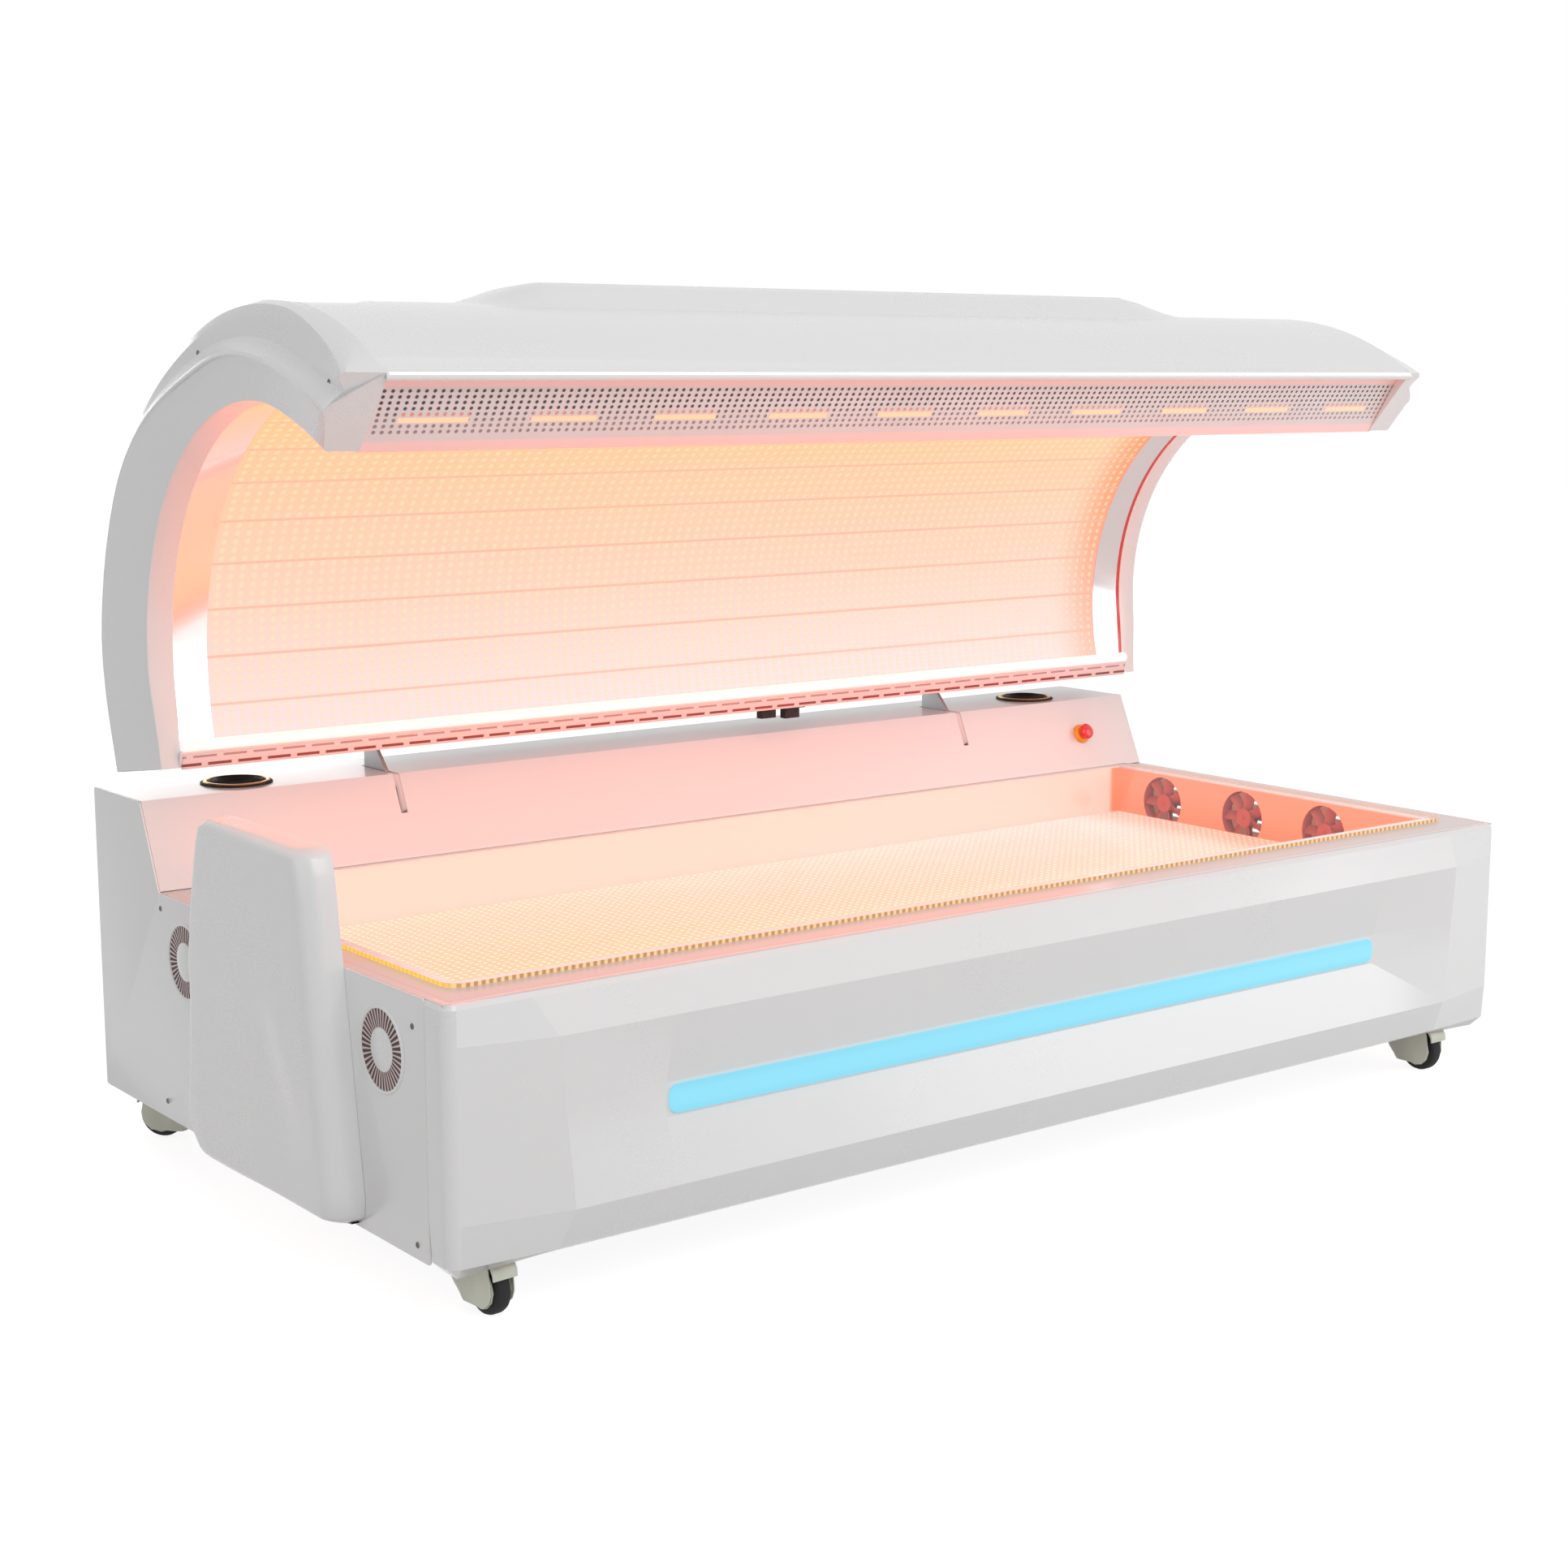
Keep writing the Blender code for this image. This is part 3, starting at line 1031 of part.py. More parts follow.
def make_cap(canopy, side, sign):
    """End cap: a crescent of the rounded disc, hollow, open towards the canopy's inside."""
    low, high = CANOPY_L / 2 + GAP, CANOPY_L / 2 + CAP_T
    over = SHELL_R + CAP_ROUND

    def crescent(name, margin, outer, start, end, look=None):
        ends = sorted((sign * start, sign * end))
        return flat(name, cap_outline(margin, outer), "X", ends[0], ends[1], canopy, look)

    cap = crescent("canopy_%s_cap" % side, 0, over, low - CAP_WALL, high + CAP_WALL, WHITE)
    keep(cap, cap_disc("cap_disc_" + side, canopy, sign, 0))
    hollow = crescent("cap_hollow_" + side, CAP_WALL, over, low, high)
    keep(hollow, cap_disc("cap_hollow_disc_" + side, canopy, sign, CAP_WALL))
    opening = crescent("cap_opening_" + side, CAP_RIM, SHELL_R - CAP_RIM, low - CAP_WALL, low + 2 * CAP_WALL)
    cut(cap, hollow, opening)


def make_fairing(canopy):
    """Low hump along the top of the shell: it follows the arc and slopes down on all sides."""
    facet = degrees(SHELL_FACET)
    start, end = SHELL_FROM + FAIRING_FIRST * facet, SHELL_FROM + FAIRING_LAST * facet
    flank = degrees(FAIRING_FLANK / SHELL_R)
    facets = FAIRING_LAST - FAIRING_FIRST
    seat = SHELL_R + GAP
    outline = arc(SHELL_C, seat, start, end, facets)
    outline += arc(SHELL_C, seat + FAIRING_H, end - flank, start + flank, facets)
    mesh = mesh_of_outlines("canopy_top_fairing", [outline], FAIRING_L)
    shape = bmesh.new()
    shape.from_mesh(mesh)
    for end in (-FAIRING_TOP_L / 2, FAIRING_TOP_L / 2):
        geometry = [*shape.verts, *shape.edges, *shape.faces]
        bmesh.ops.bisect_plane(shape, geom=geometry, dist=0.00001, plane_co=(0, 0, end), plane_no=(0, 0, 1))
    centre = Vector(SHELL_C)
    for vert in shape.verts:
        out = vert.co.xy - centre
        if abs(vert.co.z) > (FAIRING_TOP_L + FAIRING_L) / 4 and out.length > seat + FAIRING_EDGE:
            vert.co.xy = centre + out.normalized() * (seat + FAIRING_EDGE)
    shape.to_mesh(mesh)
    shape.free()
    add("canopy_top_fairing", mesh, (0, 0, 0), canopy, WHITE, TURNS["X"])


# The whole bed

def centre_on_origin(root):
    """Move the bed so that the middle of its underside is at the origin."""
    graph = bpy.context.evaluated_depsgraph_get()
    corners = []
    for piece in PARTS.objects:
        if piece.type == "MESH":
            seen = piece.evaluated_get(graph)
            corners += [seen.matrix_world @ vert.co for vert in seen.data.vertices]
    for axis in (0, 1):
        values = [corner[axis] for corner in corners]
        root.location[axis] -= (min(values) + max(values)) / 2


def main():
    root = empty("bed_root", (0, 0, 0))
    make_frame(root)
    make_floor_pan(root)
    for end, side_x in SIDES:
        for row, y in (("front", CASTER_FRONT), ("rear", CASTER_REAR)):
            make_caster(root, row + "_" + end, side_x * CASTER_X, y)
    make_fascia(root)
    make_end_panels(root)
    make_head_panel(root)
    make_rear_housing(root)
    make_tub(root)
    make_bed_boards(root)
    for i, y in enumerate(FAN_YS):
        make_fan(root, i + 1, y)
    make_electrics(root)
    make_estop(root)
    canopy = empty("canopy_hinge_axis", (0, *PIVOT), root)
    lip = make_shell(canopy)
    make_grille(canopy, lip)
    make_rail(canopy)
    make_led_boards(canopy)
    make_fairing(canopy)
    for side, sign in SIDES:
        make_speaker(root, side, sign)
        make_hinge_bracket(root, side, sign)
        make_strut(root, side, sign)
        make_arm(canopy, side, sign)
        make_reflector(canopy, side, sign)
        make_cap(canopy, side, sign)
    centre_on_origin(root)


clear_scene()
PARTS = collection(OBJECT_NAME)
CUTTERS = collection("cutters")
main()
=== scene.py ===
"""Looks of a red light therapy bed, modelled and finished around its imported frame.

Metres, +Z up, in the frame's own axes: X runs along the bed and -Y is the front, where a
person gets in. Each piece is modelled in its place and rides on a body of the frame.
"""

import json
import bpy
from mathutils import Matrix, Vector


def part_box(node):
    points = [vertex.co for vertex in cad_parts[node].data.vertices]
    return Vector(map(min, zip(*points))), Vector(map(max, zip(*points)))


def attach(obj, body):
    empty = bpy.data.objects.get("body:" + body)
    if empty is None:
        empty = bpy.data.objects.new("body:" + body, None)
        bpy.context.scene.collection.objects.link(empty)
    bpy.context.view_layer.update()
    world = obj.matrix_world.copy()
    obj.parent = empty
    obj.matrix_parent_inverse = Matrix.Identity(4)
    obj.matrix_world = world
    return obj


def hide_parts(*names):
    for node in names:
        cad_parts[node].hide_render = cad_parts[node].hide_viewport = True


bl_info = {
    "name": "Red light therapy bed",
    "version": (1, 0, 0),
    "blender": (4, 5, 0),
    "location": "View3D > Sidebar > Therapy bed",
    "description": "Models and finishes a clamshell light therapy bed around its frame",
    "category": "Object",
}

from math import cos, pi, radians, sin

import bmesh
import bpy
from bpy.props import FloatProperty, FloatVectorProperty, IntProperty, PointerProperty
from mathutils import Vector

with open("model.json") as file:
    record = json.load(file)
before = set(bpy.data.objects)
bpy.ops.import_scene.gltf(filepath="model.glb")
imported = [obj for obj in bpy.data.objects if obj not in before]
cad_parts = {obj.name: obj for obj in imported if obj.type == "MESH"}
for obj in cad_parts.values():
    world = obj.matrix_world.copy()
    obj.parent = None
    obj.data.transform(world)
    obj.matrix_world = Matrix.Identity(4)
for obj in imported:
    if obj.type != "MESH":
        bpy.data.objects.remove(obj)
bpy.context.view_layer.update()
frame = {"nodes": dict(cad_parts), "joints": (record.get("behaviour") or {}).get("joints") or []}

# Places that the frame gives
JOINTS = {joint["name"]: joint for joint in frame["joints"]}
HINGE = Vector(JOINTS["canopy_hinge"]["pos_m"])
MIDDLE = HINGE - Vector((0, 0.45, 0.5))  # the floor under the middle of the base
SIDES = (("left", -1), ("right", 1))
CORNERS = ("front_left", "front_right", "rear_left", "rear_right")
HALF_L = (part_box("right_end_panel")[1].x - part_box("left_end_panel")[0].x) / 2
RIM_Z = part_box("bed_tub")[1].z
DECK_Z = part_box("rear_housing")[1].z

# Arcs of the canopy, as centre (y, z) from the middle of the base, and radius
SHELL_C, SHELL_R = (-0.049, 0.767), 0.562
SHELL_FROM, SHELL_TO = -16.4, 124.5
LED_C, LED_R = (-0.072, 0.785), 0.422
LED_FROM, LED_TO = -18.5, 121.0
CAP_C, CAP_R = (-0.048, 0.806), 0.385
CANOPY_HALF = 1.015  # to the seam between the shell and a cap
LED_HALF = 0.949
CANOPY_BOARDS = 7


def bed(x, y, z):
    """A point given from the middle of the base, in the frame's axes."""
    return MIDDLE + Vector((x, y, z))


def on_arc(centre, radius, degrees):
    turn = radians(degrees)
    return centre[0] + radius * cos(turn), centre[1] + radius * sin(turn)


def arc(centre, radius, start, end, steps):
    return [on_arc(centre, radius, start + (end - start) * i / steps) for i in range(steps + 1)]


def ease(t):
    """0 to 1 along a smooth S-shaped curve."""
    t = min(max(t, 0.0), 1.0)
    return t * t * (3 - 2 * t)


def between(a, b, t):
    return a + (b - a) * t


# What a user may change


def length_property(name, description, default, low, high):
    return FloatProperty(name=name, description=description, default=default, min=low, max=high,
                         unit="LENGTH")


def colour_property(name, description, default):
    return FloatVectorProperty(name=name, description=description, default=default, min=0, max=1,
                               subtype="COLOR")


class BedSizes(bpy.types.PropertyGroup):
    """Sizes of the small repeated details."""

    led_pitch: length_property("LED pitch", "Distance between lamps on the boards", 0.0193, 0.008, 0.05)
    bed_pitch: length_property("Bed LED pitch", "Pitch of lamps under the sheet", 0.0150, 0.006, 0.03)
    seam_pitch: length_property("LED seam pitch", "Distance between seams of the arc", 0.0744, 0.03, 0.2)
    grille_pitch: length_property("Grille pitch", "Distance between its holes", 0.0124, 0.005, 0.03)
    grille_hole: length_property("Grille hole", "Radius of a hole of the grille", 0.0033, 0.001, 0.01)
    screw: length_property("Screw", "Radius of the screw heads", 0.0045, 0.002, 0.01)
    skin: length_property("Skin", "Thickness of the moulded covers", 0.003, 0.001, 0.008)
    arc_steps: IntProperty(name="Arc steps", description="Segments along the canopy's arc",
                           default=64, min=24, max=128)


class BedColours(bpy.types.PropertyGroup):
    """Colours of the finishes, as linear RGB."""

    white: colour_property("White", "Moulded covers", (0.80, 0.80, 0.80))
    deck: colour_property("Deck", "Rear deck and its slope", (0.80, 0.76, 0.76))
    glow_low: colour_property("Low glow", "Light of the lowest board", (1.0, 0.405, 0.41))
    glow_middle: colour_property("Middle glow", "Light half way up", (1.0, 0.345, 0.275))
    glow_high: colour_property("High glow", "Light under the nose", (1.0, 0.295, 0.130))
    lamp: colour_property("Lamp", "Middle of a lamp", (1.0, 0.42, 0.27))
    seam: colour_property("Seam", "Line between rows of lamps", (1.0, 0.24, 0.18))
    blue: colour_property("Blue light", "Light strip of the fascia", (0.245, 0.70, 0.88))
    gold: colour_property("Gold", "Ring of the speakers", (0.80, 0.48, 0.17))
    fork: colour_property("Fork", "Plated caster forks", (0.74, 0.78, 0.66))
    fan: colour_property("Fan", "Fans behind the tub's wall", (0.36, 0.07, 0.05))
    alarm: colour_property("Stop button", "Head of the stop button", (0.75, 0.02, 0.015))
    collar: colour_property("Stop collar", "Collar of the stop button", (0.95, 0.42, 0.03))


# Shader maths


class Surface:
    """A socket of a material's tree: sums on it add Math nodes, and node() adds any other."""

    def __init__(self, tree, socket=None):
        self.tree = tree
        self.socket = socket

    def node(self, kind, settings=None, inputs=None, output=0):
        """A new node of that kind, as one of its outputs; settings are set before the sockets."""
        made = self.tree.nodes.new(kind)
        for name, value in (settings or {}).items():
            if name == "stops":
                self.set_stops(made.color_ramp, value)
            else:
                setattr(made, name, value)
        for name, value in (inputs or {}).items():
            self.feed(made.inputs[name], value)
        return Surface(self.tree, made.outputs[output])

    def feed(self, target, value):
        if isinstance(value, Surface):
            self.tree.links.new(value.socket, target)
        else:
            target.default_value = value

    @staticmethod
    def set_stops(ramp, stops):
        for i, (place, colour) in enumerate(stops):
            stop = ramp.elements[i] if i < 2 else ramp.elements.new(place)
            stop.position = place
            stop.color = (*colour, 1.0)

    def math(self, operation, *others):
        values = (self, *others)
        return self.node("ShaderNodeMath", {"operation": operation}, dict(enumerate(values)))

    def __add__(self, other):
        return self.math("ADD", other)

    def __radd__(self, other):
        return self.math("ADD", other)

    def __sub__(self, other):
        return self.math("SUBTRACT", other)

    def __rsub__(self, other):
        return self.node("ShaderNodeMath", {"operation": "SUBTRACT"}, {0: other, 1: self})

    def __mul__(self, other):
        return self.math("MULTIPLY", other)

    def __rmul__(self, other):
        return self.math("MULTIPLY", other)

    def __truediv__(self, other):
        return self.math("DIVIDE", other)

    def __pow__(self, other):
        return self.math("POWER", other)

    def __abs__(self):
        return self.math("ABSOLUTE")

    def rise(self, low, high):
        """0 below low, 1 above high, smooth between; low may be the larger."""
        inputs = {"Value": self, "From Min": low, "From Max": high}
        return self.node("ShaderNodeMapRange", {"interpolation_type": "SMOOTHSTEP"}, inputs)

    def off_middle(self, pitch):
        """Distance to the middle of the cell that the value lies in, cells being a pitch long."""
        return abs((self / pitch).math("FRACT") - 0.5) * pitch

    def place(self):
        """X, Y and Z of the surface in the frame."""
        spot = self.node("ShaderNodeTexCoord", output="Object")
        return [self.node("ShaderNodeSeparateXYZ", None, {0: spot}, axis) for axis in "XYZ"]

    def noise(self, scale, detail=2.0):
        spot = self.node("ShaderNodeTexCoord", output="Object")
        return self.node("ShaderNodeTexNoise", None, {"Vector": spot, "Scale": scale, "Detail": detail})

    def mix(self, share, first, second):
        """The first colour where share is 0 and the second where it is 1."""
        first, second = [c if isinstance(c, Surface) else (*c, 1.0) for c in (first, second)]
        return self.node("ShaderNodeMix", {"data_type": "RGBA"}, {0: share, 6: first, 7: second}, 2)

    def bump(self, height, distance):
        return self.node("ShaderNodeBump", None, {"Height": height, "Distance": distance})


def new_finish(name, **sockets):
    """A material with one Principled shader, as (material, its tree, the shader's sockets set)."""
    material = bpy.data.materials.new(name)
    material.use_nodes = True
    tree = material.node_tree
    tree.nodes.clear()
    output = tree.nodes.new("ShaderNodeOutputMaterial")
    shader = tree.nodes.new("ShaderNodeBsdfPrincipled")
    tree.links.new(shader.outputs[0], output.inputs[0])
    maker = Surface(tree)

    def feed(**values):
        for socket, value in values.items():
            if isinstance(value, tuple):
                value = (*value, 1.0)
            maker.feed(shader.inputs[socket.replace("_", " ")], value)

    feed(**sockets)
    return material, maker, feed


def blend_over(maker, share, shader):
    """Mixes another shader over a finish's own by a share."""
    output = next(node for node in maker.tree.nodes if node.type == "OUTPUT_MATERIAL")
    own = Surface(maker.tree, output.inputs[0].links[0].from_socket)
    maker.feed(output.inputs[0], maker.node("ShaderNodeMixShader", None, {0: share, 1: own, 2: shader}))


def colours():
    return bpy.context.scene.bed_colours


def sizes():
    return bpy.context.scene.bed_sizes


# Modelling

MERGE = 0.00001  # points closer than this are one


def pick_nothing():
    """Leaves nothing selected, in object mode."""
    if bpy.context.object and bpy.context.object.mode != "OBJECT":
        bpy.ops.object.mode_set(mode="OBJECT")
    bpy.ops.object.select_all(action="DESELECT")


def pick(piece):
    """Leaves only that piece selected and active, in object mode."""
    pick_nothing()
    piece.select_set(True)
    bpy.context.view_layer.objects.active = piece


def edit(piece):
    pick(piece)
    bpy.ops.object.mode_set(mode="EDIT")
    bpy.ops.mesh.select_all(action="SELECT")


def named(name):
    piece = bpy.context.object
    piece.name = piece.data.name = name
    bpy.ops.object.transform_apply(location=True, rotation=True, scale=True)
    return piece


def draw(name, points, closed=False):
    """A chain of edges, drawn from one corner by extruding; left in edit mode, all selected."""
    pick_nothing()
    bpy.ops.mesh.primitive_plane_add(size=0.01, location=points[0])
    piece = named(name)
    edit(piece)
    bpy.ops.mesh.merge(type="CENTER")
    for start, end in zip(points, points[1:]):
        step = Vector(end) - Vector(start)
        bpy.ops.mesh.extrude_vertices_move(TRANSFORM_OT_translate={"value": step})
    bpy.ops.mesh.select_all(action="SELECT")
    if closed:
        bpy.ops.mesh.edge_face_add()
    return piece


def sweep(step):
    """Extrudes all the edges of a chain in edit mode along a step, and selects everything."""
    bpy.ops.mesh.extrude_edges_move(TRANSFORM_OT_translate={"value": step})
    bpy.ops.mesh.select_all(action="SELECT")


def loft(name, rows):
    """A skin through rows of points: the first is drawn, and each next one is extruded and placed."""
    piece = draw(name, rows[0])
    for last, row in zip(rows, rows[1:]):
        bpy.ops.mesh.extrude_edges_move(TRANSFORM_OT_translate={"value": (0, 0, 0)})
        shape = bmesh.from_edit_mesh(piece.data)
        new = [vert for vert in shape.verts if vert.select]
        for vert in new:
            nearest = min(range(len(last)), key=lambda i: (vert.co - last[i]).length_squared)
            vert.co = row[nearest]
        bmesh.update_edit_mesh(piece.data)
    bpy.ops.mesh.select_all(action="SELECT")
    return piece


def close_ends():
    """Fills every open loop of the mesh in edit mode."""
    bpy.ops.mesh.select_all(action="DESELECT")
    bpy.ops.mesh.select_mode(type="EDGE")
    bpy.ops.mesh.select_non_manifold(extend=False, use_wire=False, use_multi_face=False, use_verts=False)
    bpy.ops.mesh.edge_face_add()
    bpy.ops.mesh.select_mode(type="VERT")
    bpy.ops.mesh.select_all(action="SELECT")


def outward():
    """Merges doubles and turns the faces of the mesh in edit mode outwards."""
    bpy.ops.mesh.select_all(action="SELECT")
    bpy.ops.mesh.remove_doubles(threshold=MERGE)
    bpy.ops.mesh.normals_make_consistent(inside=False)


def modify(piece, kind, **settings):
    """Adds a modifier, sets it and applies it."""
    pick(piece)
    modifier = piece.modifiers.new(kind.lower(), kind)
    for name, value in settings.items():
        setattr(modifier, name, value)
    bpy.ops.object.modifier_apply(modifier=modifier.name)


def soften(piece, width, angle=30.0):
    """Rounds the edges that are sharper than an angle, and shades the rest smooth."""
    modify(piece, "BEVEL", width=width, segments=2, limit_method="ANGLE", angle_limit=radians(angle),
           use_clamp_overlap=True, miter_outer="MITER_ARC")
    smooth(piece)


def smooth(piece, angle=35.0):
    pick(piece)
    bpy.ops.object.shade_smooth_by_angle(angle=radians(angle))


def thicken(piece, wall, offset=-1.0):
    modify(piece, "SOLIDIFY", thickness=wall, offset=offset, use_even_offset=True)


def face_away(piece, point):
    """Turns the faces of an open sheet in edit mode to look away from a point."""
    bpy.ops.mesh.normals_make_consistent(inside=False)
    shape = bmesh.from_edit_mesh(piece.data)
    leans = [face.normal.dot(face.calc_center_median() - point) * face.calc_area() for face in shape.faces]
    if sum(leans) < 0:
        bpy.ops.mesh.flip_normals()


def skin(piece, point, wall, angle=35.0, offset=-1.0):
    """Makes an open sheet in edit mode look away from a point, thickens it and shades it smooth."""
    face_away(piece, point)
    thicken(piece, wall, offset)
    smooth(piece, angle)


def spun(name, profile, place, axis, steps):
    """A turned piece: (radius, height) points from the axis outwards and back to it."""
    axis = Vector(axis).normalized()
    side = axis.orthogonal().normalized()
    points = [Vector(place) + side * radius + axis * height for radius, height in profile]
    piece = draw(name, points)
    bpy.ops.mesh.spin(steps=steps, angle=2 * pi, center=place, axis=axis)
    outward()
    smooth(piece)
    return piece


def slab(name, outline, depth, round_steps=()):
    """A plate from a closed outline: extruded by depth, then inset once per (in, out) step."""
    piece = draw(name, outline, closed=True)
    face = bmesh.from_edit_mesh(piece.data).faces
    face.ensure_lookup_table()
    if face[0].normal.dot(Vector(depth)) < 0:
        bpy.ops.mesh.flip_normals()
    bpy.ops.mesh.extrude_region_move(TRANSFORM_OT_translate={"value": depth})
    for inwards, out in round_steps:
        bpy.ops.mesh.inset(thickness=inwards, depth=out)
    outward()
    bpy.ops.object.mode_set(mode="OBJECT")
    return piece


def copy_of(node, name, flat_faces=True):
    """A merged copy of a frame node's mesh, to be shaped further; flat faces may be made whole."""
    pick(frame["nodes"][node])
    bpy.ops.object.duplicate()
    piece = bpy.context.object
    piece.name = piece.data.name = name
    piece.parent = None
    for key in list(piece.keys()):
        del piece[key]
    edit(piece)
    bpy.ops.mesh.remove_doubles(threshold=MERGE)
    if flat_faces:
        bpy.ops.mesh.dissolve_limited(angle_limit=radians(1.0))
    bpy.ops.object.mode_set(mode="OBJECT")
    return piece


def dress(piece, finish, body, slot, *nodes):
    """Gives a new piece its finish and its body, and hides the frame nodes that it stands for. The slot is
    not used.
    """
    piece.data.materials.clear()
    piece.data.materials.append(finish)
    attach(piece, body)
    if nodes:
        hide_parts(*nodes)


def coat(finish, *nodes):
    """Gives frame nodes whose shape is right a finish."""
    for node in nodes:
        materials = frame["nodes"][node].data.materials
        materials.clear()
        materials.append(finish)


def shared(make):
    """Makes a finish at its first call and gives the same one after that; its name comes first."""

    def get(name, *settings):
        return bpy.data.materials.get(name) or make(name, *settings)

    return get


# Finishes


@shared
def moulded(name, colour, roughness=0.28):
    """Moulded cover: a gloss coat over a skin with a faint orange peel and a little unevenness."""
    finish, maker, feed = new_finish(name, Coat_Weight=0.35, Coat_Roughness=0.12)
    broad = maker.noise(3.0)
    fine = maker.noise(420.0, 3.0)
    darker = tuple(channel * 0.993 for channel in colour)
    feed(Base_Color=maker.mix(broad.rise(0.35, 0.65), darker, colour),
         Roughness=roughness + 0.08 * (broad - 0.5) + 0.03 * (fine - 0.5),
         Normal=maker.bump(fine, 0.00012))
    return finish


def white_cover():
    return moulded("white_cover", tuple(colours().white))


def panel_white():
    return moulded("panel_white", tuple(colours().white), 0.33)


def pale_deck():
    return moulded("pale_deck", tuple(colours().deck), 0.34)


@shared
def painted(name, colour, roughness, metallic=0.0):
    """Sprayed or plated metal: fine speckle, and worn brighter by broad patches."""
    finish, maker, feed = new_finish(name, Metallic=metallic)
    speckle = maker.noise(900.0, 4.0)
    patches = maker.noise(14.0, 4.0)
    darker = tuple(channel * 0.80 for channel in colour)
    feed(Base_Color=maker.mix(patches.rise(0.3, 0.7) * 0.7 + speckle * 0.3, darker, colour),
         Roughness=roughness + 0.15 * (patches - 0.5) + 0.08 * (speckle - 0.5),
         Normal=maker.bump(speckle, 0.00008))
    return finish


def black_plastic():
    return painted("black_plastic", (0.018, 0.018, 0.019), 0.45)


@shared
def rubber(name):
    """Black rubber, with a dusty bloom."""
    finish, maker, feed = new_finish(name)
    dust = maker.noise(60.0, 5.0)
    fine = maker.noise(700.0, 2.0)
    feed(Base_Color=maker.mix(dust.rise(0.45, 0.8), (0.004, 0.004, 0.004), (0.014, 0.014, 0.013)),
         Roughness=0.55 + 0.25 * (dust - 0.5), Normal=maker.bump(fine, 0.0001))
    return finish


LAMP_ROWS = 5  # rows of lamps between two seams
LAMP_LIGHT = 1.75


def lit_board(name, along, across, height, seams=True):
    """Lit board: lamps on a grid, a line at each seam, and light that warms upwards and to the foot end.

    along and across give metres over the board, from its middle, and height runs from 0 to 1.
    A board without seams has its lamps closer together.
    """
    finish, maker, feed = new_finish(name, Base_Color=(0.20, 0.07, 0.045), Roughness=0.45)
    size, look = sizes(), colours()
    spot = maker.place()
    u, v, t = along(*spot), across(*spot), height(*spot)
    pitches = (size.led_pitch, size.seam_pitch / LAMP_ROWS) if seams else (size.bed_pitch, size.bed_pitch)
    far = (u.off_middle(pitches[0]) ** 2 + v.off_middle(pitches[1]) ** 2) ** 0.5
    dot = far.rise(pitches[0] * 0.33, pitches[0] * 0.11)
    stops = ((0.0, tuple(look.glow_low)), (0.24, tuple(look.glow_middle)), (0.62, tuple(look.glow_high)))
    glow = maker.node("ShaderNodeValToRGB", {"stops": stops}, {0: t})
    end = u.rise(LED_HALF - 0.13, LED_HALF) ** 1.3
    glow = maker.mix(end * (0.40 + 0.7 * t), glow, (1.0, 0.10, 0.008))
    spark = maker.mix(0.6, glow, tuple(look.lamp))
    if seams:
        line = (v + size.seam_pitch / 2).off_middle(size.seam_pitch).rise(0.0030, 0.0008)
        glow = maker.mix(line * 0.75, glow, tuple(look.seam))
    else:
        glow = maker.mix(0.10, glow, (1.0, 0.20, 0.22))
        spark = maker.mix(0.9, glow, (1.0, 0.56, 0.40))
    lit = maker.mix(dot, glow, spark)
    feed(Emission_Color=lit, Emission_Strength=LAMP_LIGHT, Normal=maker.bump(dot, 0.0015))
    return finish


@shared
def mirror(name):
    """Polished reflector, its colour painted as a reflection: brighter low down and at the head end, with a
    red seam at the foot end.
    """
    finish, maker, feed = new_finish(name)
    ripple = maker.noise(9.0, 3.0)
    x, _, z = maker.place()
    seam = (x - MIDDLE.x).rise(1.0030, 1.0050)
    # Painted reflection: lighter low down and at the head end, greyer and darker up high towards the foot end
    low = (z - MIDDLE.z).rise(0.84, 0.76)
    foot = (x - MIDDLE.x).rise(-0.5, 0.5)
    high = maker.mix(foot, (0.90, 0.86, 0.84), (0.56, 0.46, 0.45))
    painted_reflection = maker.mix(low, maker.mix(ripple * 0.3, high, (0.70, 0.67, 0.67)), (0.96, 0.95, 0.95))
    feed(Base_Color=maker.mix(seam, painted_reflection, (0.55, 0.05, 0.045)), Metallic=1 - seam,
         Roughness=0.10 + 0.08 * ripple, Normal=maker.bump(ripple, 0.0003))
    return finish


def clear_sheet():
    """Clear acrylic that lets the lamps' light through to what lies under it."""
    finish, maker, feed = new_finish("clear_sheet", Base_Color=(0.99, 0.97, 0.95), IOR=1.02,
                                     Transmission_Weight=1.0)
    haze = maker.noise(5.0)
    feed(Roughness=0.02 + 0.03 * haze)
    shadow = maker.node("ShaderNodeLightPath", output="Is Shadow Ray")
    through = maker.node("ShaderNodeBsdfTransparent", None, {0: (0.97, 0.93, 0.91, 1.0)})
    blend_over(maker, shadow, through)
    return finish


